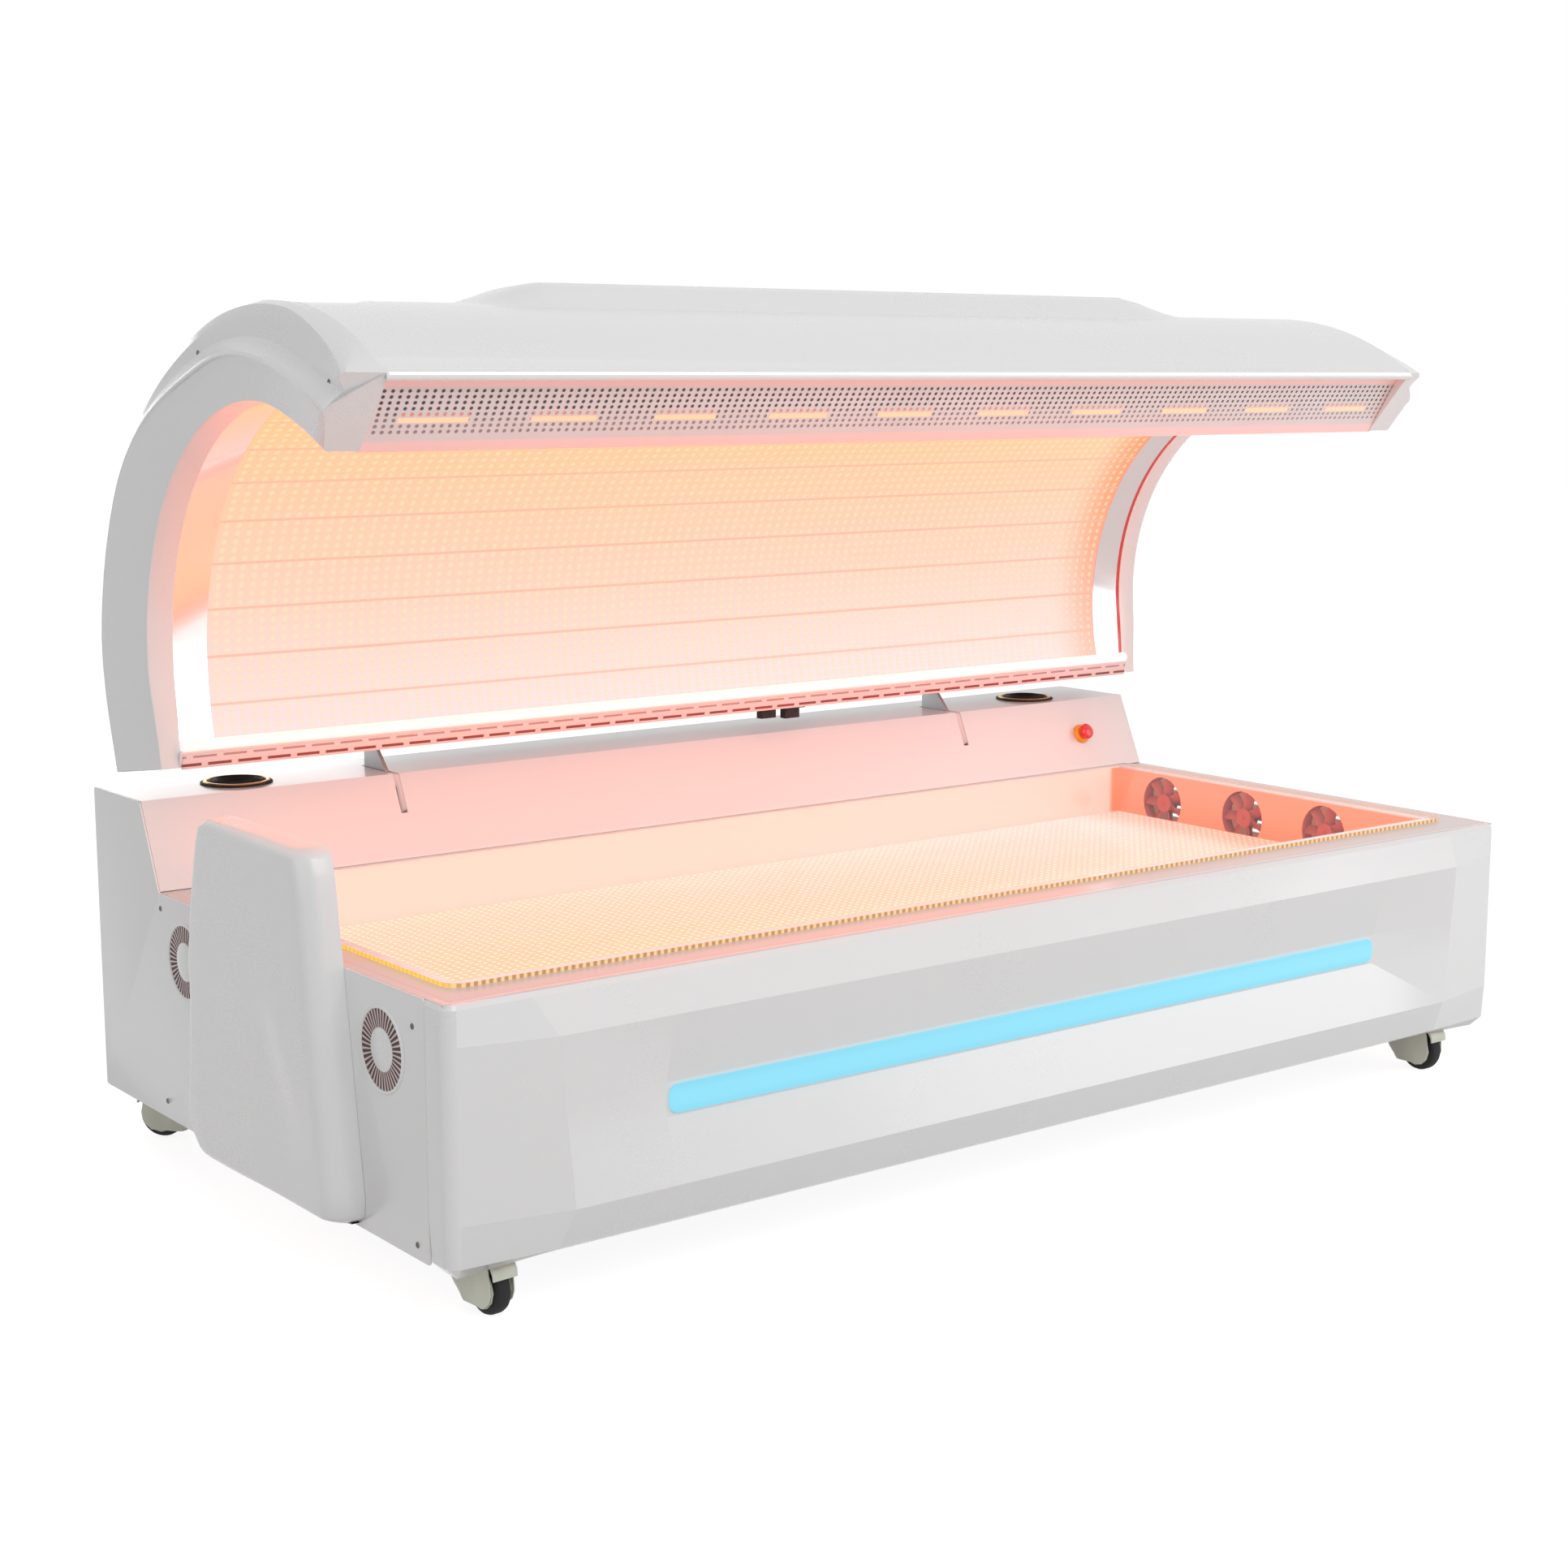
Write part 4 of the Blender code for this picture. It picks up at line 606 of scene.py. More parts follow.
def grille_plate():
    """Perforated front plate: rows of holes painted dark as shade, and windows behind some of them painted as
    lit by the lamps; its top and bottom bands are painted pinker with the lamps' light.
    """
    finish, maker, feed = new_finish("grille_plate", Roughness=0.35, Coat_Weight=0.2)
    size = sizes()
    x, _, z = maker.place()
    u = x - MIDDLE.x
    v = (GRILLE_TOP[1] - z) / GRILLE_RUN[1] * GRILLE_H
    row = size.grille_pitch * GRILLE_ROW_SHARE
    across, down = u.off_middle(size.grille_pitch), (v + 0.0014).off_middle(row)
    far = (across ** 2 + down ** 2) ** 0.5
    inside = v.rise(GRILLE_MARGIN, GRILLE_MARGIN + 0.001) * v.rise(GRILLE_LAST, GRILLE_LAST - 0.001)
    # The holes are only coloured: their dark colour is painted shade
    hole = far.rise(size.grille_hole, size.grille_hole * 0.6) * inside
    # Painted light: windows glowing with the lamps behind them, and a fainter glow in the holes just above
    window_u = u.off_middle(WINDOW_PITCH).rise(WINDOW_L / 2, WINDOW_L / 2 - 0.004)
    window = window_u * abs(v - WINDOW_DOWN).rise(WINDOW_H / 2, WINDOW_H / 2 - 0.002)
    above = window_u * abs(v - WINDOW_DOWN + row).rise(row / 2, row / 2 - 0.001)
    # Painted light: pinker bands along the top and the bottom, lit by the lamps
    edge = (abs(v - GRILLE_H / 2) - 0.040).rise(0.0, 0.004)
    plain = maker.mix(maker.noise(6.0).rise(0.3, 0.7), (0.82, 0.72, 0.71), (0.86, 0.76, 0.75))
    plate = maker.mix(edge, plain, (0.84, 0.60, 0.57))
    # Painted shade in the holes: near black high up, lighter lower down
    deep = maker.mix((v - 0.045).rise(0.0, 0.03), (0.025, 0.014, 0.016), (0.34, 0.25, 0.25))
    dark = maker.mix(hole, plate, maker.mix(above, deep, (0.62, 0.08, 0.06)))
    end = (u - 1.0095).rise(0.0, 0.001)
    painted_band_glow = maker.mix(edge, (0.02, 0.015, 0.015), (0.22, 0.10, 0.09))
    feed(Base_Color=maker.mix(end, maker.mix(window, dark, (0.30, 0.12, 0.06)), (0.50, 0.10, 0.09)),
         Emission_Color=maker.mix(window + above * hole * 0.3, painted_band_glow, (1.0, 0.58, 0.34)),
         Emission_Strength=1.0, Normal=maker.bump(1 - hole, 0.0012))
    return finish


def slotted():
    """Strip under the boards: two staggered rows of slots in pale metal, painted dark red as shade tinted by
    the lamps' light.
    """
    finish, maker, feed = new_finish("slotted_strip", Roughness=0.35)
    x, _, z = maker.place()
    u, v = x - MIDDLE.x, z - MIDDLE.z
    # Painted shade: the slots are only coloured, dark red with shade and the lamps' light
    upper = u.off_middle(0.050).rise(0.0205, 0.0185) * abs(v - 0.6500).rise(0.0022, 0.0012) * 0.6
    lower = (u + 0.025).off_middle(0.050).rise(0.0205, 0.0185) * abs(v - 0.6375).rise(0.0026, 0.0016)
    # A thin red line of painted shade just under the bar, tinted by the lamps' light
    line = abs(v - 0.6553).rise(0.0012, 0.0006) * 0.6
    pale = maker.mix(maker.noise(4.0), (0.80, 0.70, 0.69), (0.86, 0.77, 0.76))
    painted_slot_shade = maker.mix(upper.math("MAXIMUM", lower), pale, (0.26, 0.060, 0.060))
    feed(Base_Color=maker.mix(line, painted_slot_shade, (0.70, 0.22, 0.20)), Normal=maker.bump(1 - upper - lower, 0.001))
    return finish


@shared
def bright_trim(name):
    """White bar that shines like polished metal, with a painted highlight that makes it glow brighter."""
    finish, maker, feed = new_finish(name, Metallic=0.3)
    brushed = maker.noise(30.0, 3.0)
    # Emission: a painted highlight along the bar
    feed(Base_Color=maker.mix(brushed, (0.93, 0.91, 0.91), (0.97, 0.96, 0.96)),
         Emission_Color=maker.mix(brushed, (0.94, 0.86, 0.85), (0.97, 0.90, 0.89)), Emission_Strength=0.38,
         Roughness=0.24 + 0.08 * brushed, Normal=maker.bump(brushed, 0.0002))
    return finish


def arc_height(x, y, z):
    turn = (z - (MIDDLE.z + LED_C[1])).math("ARCTAN2", y - (MIDDLE.y + LED_C[0]))
    return (turn - radians(LED_FROM)) / radians(LED_TO - LED_FROM)


def arc_across(x, y, z):
    return arc_height(x, y, z) * (LED_R * radians(LED_TO - LED_FROM))


def from_middle(x, y, z):
    return x - MIDDLE.x


def from_front(x, y, z):
    return y - MIDDLE.y


def bed_height(x, y, z):
    """The bed's light is warmest at its front, near the head."""
    return (x - MIDDLE.x).rise(1.0, -0.9) * 0.25 + (y - MIDDLE.y).rise(0.3, -0.45) * 0.25 + 0.05


# The canopy

GRILLE_TOP, GRILLE_FOOT = (-0.3415, 1.2245), (-0.2800, 1.1275)
GRILLE_RUN = (GRILLE_FOOT[0] - GRILLE_TOP[0], GRILLE_TOP[1] - GRILLE_FOOT[1])
GRILLE_H = 0.1149
GRILLE_ROW_SHARE = 0.734
GRILLE_MARGIN, GRILLE_LAST = 0.0165, 0.0900
WINDOW_PITCH, WINDOW_L, WINDOW_H, WINDOW_DOWN = 0.203, 0.110, 0.0095, 0.0667
BEAD_R = 0.0065
TRIM_END = 0.004  # the trim stops this far from the seams with the caps
HUMP_L, HUMP_TOP_L, HUMP_H = 1.482, 1.170, 0.0335
HUMP_FROM, HUMP_TO, HUMP_FLANK = 59.0, 99.5, 9.0
HUMP_ALONG, HUMP_ACROSS = 40, 24
CAP_SCREWS = (69.0, 111.0)  # degrees round the shell
CAP_FACE = 1.0525  # the flat ring on a cap's end
# The cap's section where the grille's plane cuts it off, as x and height, from the opening to the shell
CAP_NOSE = ((1.011, 1.1285), (1.0560, 1.1285), (1.0610, 1.1292), (1.0630, 1.1315), (1.0740, 1.1745),
            (1.0765, 1.1775), (1.0780, 1.1805), (1.0775, 1.1835), (1.0755, 1.1870), (1.0690, 1.1945),
            (1.0620, 1.2010), (1.0585, 1.2055), (1.0615, 1.2140), (1.0690, 1.2235), (1.0640, 1.2305),
            (1.0150, 1.2302), (1.0110, 1.2275))
VALLEY, SEAM = 11, 15  # the points of a cap's section in its valley and at the shell


def sheet(name, half, section):
    """An open sheet along the canopy, from a section of (y, z) points; left in edit mode."""
    piece = draw(name, [bed(-half, y, z) for y, z in section])
    sweep((2 * half, 0, 0))
    return piece


def bar(name, section, finish, slot, angle):
    """A bar along the canopy, between its caps, from a closed section of (y, z) points."""
    half = CANOPY_HALF - TRIM_END
    piece = slab(name, [bed(-half, y, z) for y, z in section], (2 * half, 0, 0))
    smooth(piece, angle)
    dress(piece, finish, "canopy", slot)


def shell_profile():
    """Section of the shell: its arc, a groove, and the bead along its front edge."""
    steps = sizes().arc_steps
    bead = on_arc(SHELL_C, SHELL_R - BEAD_R, SHELL_TO - 0.1)
    points = arc(SHELL_C, SHELL_R, SHELL_FROM, SHELL_TO - 1.6, steps)
    points.append(on_arc(SHELL_C, SHELL_R - 0.0022, SHELL_TO - 1.35))
    points += arc(bead, BEAD_R, 95.0, 285.0, 10)
    points.append((GRILLE_TOP[0] + 0.002, GRILLE_TOP[1] + 0.001))
    return points


class BED_OT_canopy_shell(bpy.types.Operator):
    """Model the canopy's outer shell and the hump along its top"""

    bl_idname = "bed.canopy_shell"
    bl_label = "Canopy shell"

    def execute(self, context):
        shell = sheet("canopy_shell", CANOPY_HALF, shell_profile())
        skin(shell, bed(0, *SHELL_C), sizes().skin, 50.0)
        dress(shell, white_cover(), "canopy", "white_shell", "canopy_outer_shell")
        self.hump()
        return {"FINISHED"}

    def hump(self):
        rows = []
        for i in range(HUMP_ALONG + 1):
            x = HUMP_L * (i / HUMP_ALONG - 0.5)
            along = ease((HUMP_L / 2 - abs(x)) / ((HUMP_L - HUMP_TOP_L) / 2))
            row = []
            for k in range(HUMP_ACROSS + 1):
                turn = between(HUMP_FROM, HUMP_TO, k / HUMP_ACROSS)
                across = ease((turn - HUMP_FROM) / HUMP_FLANK) * ease((HUMP_TO - turn) / HUMP_FLANK)
                row.append(bed(x, *on_arc(SHELL_C, SHELL_R - 0.0015 + HUMP_H * along * across, turn)))
            rows.append(row)
        hump = loft("canopy_hump", rows)
        skin(hump, bed(0, *SHELL_C), sizes().skin, 60.0)
        dress(hump, white_cover(), "canopy", "white_shell", "canopy_top_fairing")


def cap_section(sign, share):
    """Closed section of a cap at a share of the way from its foot, round the shell, to its nose.

    A flat ring stands round the opening. Towards the nose a band rises from it with a sharp inner
    edge, dips to a valley and climbs to the shell's edge.
    """
    turn = between(SHELL_FROM, SHELL_TO, share)
    inner, out = cap_opening(share)
    proud = ease((turn - 30.0) / 42.0)
    ring = CAP_FACE - 0.008 * ease((8.0 - turn) / 24.0)
    top = ring + 0.009 - 0.002 * (1 - proud)
    edge = between(0.545, 0.4935 - 0.026 * ease((turn - 75.0) / 42.0), proud)
    valley = between(0.553, 0.5255 - 0.0007 * max(turn - 69.0, 0.0), proud)
    dip = between(top - 0.004, 1.0405, proud)
    wall = SHELL_R - valley
    polar = [(between(top - 0.0004, ring + 0.0015, proud), edge - 0.005),
             (between(top - 0.0002, ring + 0.0028, proud), edge - 0.0020), (top - 0.0012, edge - 0.0008),
             (top, edge + 0.0010), (top - 0.0015, edge + 0.005),
             (between(top, dip, 0.36) - 0.001 * proud, between(edge, valley, 0.36)),
             (between(top, dip, 0.70) - 0.001 * proud, between(edge, valley, 0.70)), (dip, valley),
             (between(top - 0.011, 1.0440, proud), valley + wall * 0.48),
             (between(1.0370, 1.0375, proud), SHELL_R - between(0.0020, 0.0062, proud)),
             (between(1.0260, 1.0265, proud), SHELL_R - between(0.0004, 0.0010, proud)),
             (CANOPY_HALF, SHELL_R), (CANOPY_HALF - 0.004, SHELL_R - 0.002)]
    start = [(CANOPY_HALF - 0.004, inner), (ring - 0.0045, inner), (ring - 0.001, inner + out * 0.0014),
             (ring, inner + out * 0.005)]
    middle = Vector(SHELL_C)
    radial = Vector((cos(radians(turn)), sin(radians(turn))))
    section = start + [(x, middle + radial * radius) for x, radius in polar]
    nose = ease((turn - 98.0) / (SHELL_TO - 98.0))
    made = []
    for i, ((x, spot), (end_x, end_z)) in enumerate(zip(section, CAP_NOSE)):
        end_y = GRILLE_TOP[0] + (GRILLE_TOP[1] - end_z) * GRILLE_RUN[0] / GRILLE_RUN[1] - 0.0006
        to_cut = nose if i < SEAM else 0.0
        made.append(bed(sign * between(x, end_x, to_cut), *spot.lerp(Vector((end_y, end_z)), to_cut)))
    return [*made, made[0]]


def cap_opening(share):
    """The cap's inner edge at a share of its length, and the direction away from the opening."""
    straight = 0.12
    if share < straight:
        return Vector((0.322, 0.634)).lerp(Vector((0.331, 0.739)), share / straight), Vector((1, 0))
    turn = between(-10.0, 123.0, (share - straight) / (1 - straight))
    return Vector(on_arc(CAP_C, CAP_R, turn)), Vector((cos(radians(turn)), sin(radians(turn))))


class BED_OT_canopy_caps(bpy.types.Operator):
    """Model the canopy's end caps, whose rounding grows towards the nose, and their screws"""

    bl_idname = "bed.canopy_caps"
    bl_label = "Canopy caps"

    def execute(self, context):
        steps = sizes().arc_steps
        for side, sign in SIDES:
            rows = [cap_section(sign, i / steps) for i in range(steps + 1)]
            cap = loft("canopy_cap_" + side, rows)
            bpy.ops.mesh.remove_doubles(threshold=MERGE)
            close_ends()
            outward()
            smooth(cap, 36.0)
            dress(cap, white_cover(), "canopy", "white_shell", "canopy_%s_cap" % side)
            for i, turn in enumerate(CAP_SCREWS):
                row = cap_section(sign, (turn - SHELL_FROM) / (SHELL_TO - SHELL_FROM))
                screw_head("cap_screw_%s_%d" % (side, i), row[VALLEY], (sign, 0, 0), "canopy")
        return {"FINISHED"}


def screw_head(name, place, axis, body):
    """A dark pan-head screw with a recess, its rim just under the surface that it sits on."""
    r = sizes().screw
    profile = [(0, 0.0002), (r * 0.35, 0.0002), (r * 0.45, 0.0012), (r * 0.8, 0.0012), (r, 0.0002),
               (r, -0.002), (0, -0.002)]
    screw = spun(name, profile, place, axis, 12)
    return dress(screw, painted("screw_steel", (0.16, 0.15, 0.15), 0.38, 1.0), body, "hinge_steel")


class BED_OT_canopy_grille(bpy.types.Operator):
    """Model the perforated plate under the nose, with its windows painted lit, and the bead over it with a
    painted highlight
    """

    bl_idname = "bed.canopy_grille"
    bl_label = "Canopy grille"

    def execute(self, context):
        back = on_arc(LED_C, LED_R + 0.003, LED_TO)
        profile = [GRILLE_TOP, GRILLE_FOOT, (GRILLE_FOOT[0] + 0.004, GRILLE_FOOT[1] - 0.001), back]
        plate = sheet("canopy_grille", CANOPY_HALF - 0.001, profile)
        face_away(plate, bed(0, -0.2, 1.21))
        thicken(plate, 0.002)
        soften(plate, 0.0012)
        dress(plate, grille_plate(), "canopy", "pink_white_sheet", "canopy_front_grille")
        ring = arc((-0.3655, 1.2275), 0.0035, 0.0, 330.0, 11)
        bar("nose_bead", ring, bright_trim("bright_trim"), "white_shell", 35.0)
        return {"FINISHED"}


class BED_OT_canopy_light(bpy.types.Operator):
    """Model the canopy's lit boards, the mirror strips at their ends and the trim under them"""

    bl_idname = "bed.canopy_light"
    bl_label = "Canopy light"

    def execute(self, context):
        finish = lit_board("canopy_lamps", from_middle, arc_across, arc_height)
        turn = (LED_TO - LED_FROM) / CANOPY_BOARDS
        for i in range(CANOPY_BOARDS):
            start = LED_FROM + turn * i + 0.04
            end = start + turn - 0.08
            points = arc(LED_C, LED_R, max(start, LED_FROM + 2.5), end, 10)
            board = sheet("canopy_light_%d" % (i + 1), LED_HALF, points)
            skin(board, bed(0, *on_arc(LED_C, 2 * LED_R, start + turn / 2)), 0.002)
            dress(board, finish, "canopy", "led_board", "canopy_led_board_%d" % (i + 1))
        for side, sign in SIDES:
            self.reflector(side, sign)
        self.trim()
        return {"FINISHED"}

    def trim(self):
        """A rounded bar under the boards, bright partly by a painted highlight, over a slotted strip."""
        round_bar = [(0.3235, 0.6570), (0.3170, 0.6570), (0.3125, 0.6600), (0.3110, 0.6650),
                     (0.3120, 0.6705), (0.3155, 0.6745), (0.3205, 0.6760), (0.3250, 0.6745), (0.3260, 0.6640)]
        strip = [(0.3235, 0.6568), (0.3175, 0.6568), (0.3150, 0.6545), (0.3185, 0.6325), (0.3205, 0.6312),
                 (0.3235, 0.6312)]
        bar("rail_bar", round_bar, bright_trim("bright_trim"), "white_sheet", 50.0)
        bar("rail_strip", strip, slotted(), "white_sheet", 50.0)

    def reflector(self, side, sign):
        steps = sizes().arc_steps
        inner = arc(LED_C, LED_R, LED_FROM + 0.5, LED_TO - 1.0, steps)
        outer = []
        for i in range(steps + 1):
            spot, out = cap_opening(between(0.02, 0.97, i / steps))
            outer.append(spot + out * 0.0015)
        rows = [[bed(sign * (LED_HALF + 0.001), y, z) for y, z in inner],
                [bed(sign * (CANOPY_HALF - 0.003), y, z) for y, z in outer]]
        strip = loft("canopy_reflector_" + side, rows)
        skin(strip, bed(sign * 1.4, *on_arc(LED_C, 0.9, 60.0)), 0.0015)
        dress(strip, mirror("reflector_sheet"), "canopy", "reflector_mirror", "canopy_%s_reflector" % side)


# The base


def corner_arcs(points, radius, steps=5):
    """A closed outline of flat points with its corners rounded."""
    made = []
    corners = [Vector(point) for point in points]
    for i, corner in enumerate(corners):
        before, after = corners[i - 1] - corner, corners[(i + 1) % len(corners)] - corner
        reach = min(radius, before.length * 0.45, after.length * 0.45)
        start, end = corner + before.normalized() * reach, corner + after.normalized() * reach
        for k in range(steps + 1):
            t = k / steps
            made.append(tuple(start.lerp(corner, t).lerp(corner.lerp(end, t), t)))
    return made


def quarter_round(radius, steps):
    """Inset steps, as (in, out), that round a slab's edge over a quarter of a circle."""
    turns = [pi / 2 * i / steps for i in range(steps + 1)]
    return [(radius * (cos(a) - cos(b)), radius * (sin(b) - sin(a))) for a, b in zip(turns, turns[1:])]


STRIP_SEAT = -0.563
STRIP_HALF, STRIP_LOW, STRIP_HIGH = 0.723, 0.2468, 0.2873
# The fascia's levels, and how far its corners draw in at each
FASCIA_Z = (0.4463, 0.4452, 0.4390, 0.3910, 0.2915, 0.2425, 0.1550, 0.0970, 0.0790)
FASCIA_IN = (0.0130, 0.0035, 0.0, 0.0, 0.0, 0.0, 0.0, 0.0030, 0.0220)
FASCIA_CORNER, FASCIA_R, FASCIA_TURN = (1.0381, -0.5369), 0.0225, 76.0
FASCIA_END = -0.507  # where the fascia stops on the base's ends
RIDGE_X = (0.935, 0.935, 0.931, 0.911, 0.902, 0.897, 0.889, 0.900, 0.905)
RIDGE_Y = (-0.5400, -0.5495, -0.5577, -0.590, -0.590, -0.590, -0.590, -0.564, -0.525)
SEAT_Y = (*RIDGE_Y[:4], STRIP_SEAT, STRIP_SEAT, *RIDGE_Y[6:])


def fascia_rows(sign):
    """Rows of points down the fascia, from an end of the base round its corner to the strip's end."""
    (x, y), half = FASCIA_CORNER, 0.727
    rows = [[(x + FASCIA_R - draw_in, FASCIA_END) for draw_in in FASCIA_IN]]
    for i in range(13):
        turn = radians(FASCIA_TURN * i / 12)
        rows.append([(x + (FASCIA_R - draw_in) * cos(turn), y - (FASCIA_R - draw_in) * sin(turn))
                     for draw_in in FASCIA_IN])
    rows += [list(zip(RIDGE_X, RIDGE_Y)), [(half, seat) for seat in SEAT_Y]]
    return [[bed(sign * x, y, z) for (x, y), z in zip(row, FASCIA_Z)] for row in rows]


def blue_lamp():
    """Lit strip, brighter along its middle."""
    finish, maker, feed = new_finish("blue_strip", Base_Color=(0.02, 0.05, 0.06), Roughness=0.3)
    z = maker.place()[2]
    middle = abs(z - (MIDDLE.z + (STRIP_LOW + STRIP_HIGH) / 2)).rise(0.022, 0.006)
    edge = tuple(channel * 0.92 for channel in colours().blue)
    feed(Emission_Color=maker.mix(middle, edge, tuple(colours().blue)), Emission_Strength=1.0)
    return finish


class BED_OT_fascia(bpy.types.Operator):
    """Model the faceted front, which wraps round the base's ends, and its light strip"""

    bl_idname = "bed.fascia"
    bl_label = "Fascia"

    def execute(self, context):
        rows = fascia_rows(-1) + fascia_rows(1)[::-1]
        fascia = loft("fascia", rows)
        face_away(fascia, bed(0, 0, 0.27))
        modify(fascia, "BEVEL", width=0.013, segments=5, limit_method="ANGLE", angle_limit=radians(11.0))
        thicken(fascia, 0.0025)
        smooth(fascia, 40.0)
        modify(fascia, "WEIGHTED_NORMAL", weight=100, keep_sharp=True)
        dress(fascia, white_cover(), "base", "white_shell", "front_fascia")
        ends = ((-STRIP_HALF, STRIP_LOW), (STRIP_HALF, STRIP_LOW), (STRIP_HALF, STRIP_HIGH),
                (-STRIP_HALF, STRIP_HIGH))
        outline = [bed(x, STRIP_SEAT - 0.0003, z) for x, z in corner_arcs(ends, 0.016)]
        strip = slab("light_strip", outline, (0, -0.002, 0), quarter_round(0.002, 3))
        smooth(strip)
        dress(strip, blue_lamp(), "base", "blue_light", "blue_light_strip")
        return {"FINISHED"}


COWL_LOW, COWL_HIGH, COWL_OUT = 0.098, 0.606, 0.0495
COWL_GAP = 0.0003
COWL_FRONT_R, COWL_REAR_R, COWL_TOP_R, COWL_FOOT_R = 0.036, 0.014, 0.016, 0.014
ROUNDING = (0.0, 0.03, 0.12, 0.27, 0.50, 0.76, 1.0)  # shares of a radius at which a rounding is drawn
COWL_FRONT = ((0.098, -0.312), (0.108, -0.328), (0.125, -0.3345), (0.160, -0.3285), (0.560, -0.2745),
              (0.580, -0.2705), (0.596, -0.263), (0.606, -0.247))
COWL_REAR = ((0.098, 0.066), (0.106, 0.086), (0.117, 0.106), (0.136, 0.124), (0.165, 0.1325),
             (0.250, 0.1285), (0.340, 0.1195), (0.477, 0.0960), (0.575, 0.0690), (0.593, 0.059),
             (0.606, 0.036))
VENT_FINS = 40
# An end panel behind the fascia's seam, as (y, z)
PANEL_OUTLINE = ((-0.5055, 0.091), (0.553, 0.091), (0.553, 0.580), (0.375, 0.580), (0.3150, 0.446),
                 (-0.5055, 0.446))
PANEL_SCREWS = ((-0.474, 0.404), (-0.474, 0.111), (0.309, 0.423), (0.312, 0.118))
VENTS = (("front", -0.391), ("rear", 0.224))
COWL_FOLD = (0.386, -0.156, 0.559)  # height of the fold, where it turns down, and its lean


def along_points(points, height):
    """Where a chain of (height, value) points passes a height."""
    for (low, start), (high, end) in zip(points, points[1:]):
        if height <= high:
            return between(start, end, (height - low) / (high - low))
    return points[-1][1]


def rounded(distance, radius):
    """Height, from 0 to 1, of a quarter round at a distance in from its edge."""
    t = min(max(distance / radius, 0.0), 1.0)
    return (1 - (1 - t) ** 2) ** 0.5


def cowl_row(height):
    """A level section of the head end's cowl, from its rear edge, over its face, to its front edge."""
    front, rear = along_points(COWL_FRONT, height), along_points(COWL_REAR, height)
    fold_z, fold_y, lean = COWL_FOLD
    fold = fold_y - max(fold_z - height, 0.0) * lean
    ys = [front + COWL_FRONT_R * share for share in ROUNDING]
    ys += [between(ys[-1], fold, (i + 1) / 5) for i in range(5)]
    back = [rear - COWL_REAR_R * share for share in reversed(ROUNDING)]
    ys += [between(fold, back[0], (i + 1) / 12) for i in range(11)] + back
    rise = min(rounded(height - COWL_LOW, COWL_FOOT_R), rounded(COWL_HIGH - height, COWL_TOP_R))
    row = []
    for y in ys:
        side = min(rounded(y - front, COWL_FRONT_R), rounded(rear - y, COWL_REAR_R))
        step = between(COWL_OUT - COWL_REAR_R, COWL_OUT - COWL_FRONT_R, ease((0.0 - y) / 0.20))
        behind = max(min(fold_z - height, y - fold), 0.0)
        tuck = 0.11 * min(behind, 0.05) * ease((height - COWL_LOW - 0.03) / 0.12)
        row.append((step + (COWL_OUT - step - tuck) * side * rise, y))
    return [(0.0, front), *row, (0.0, rear)]


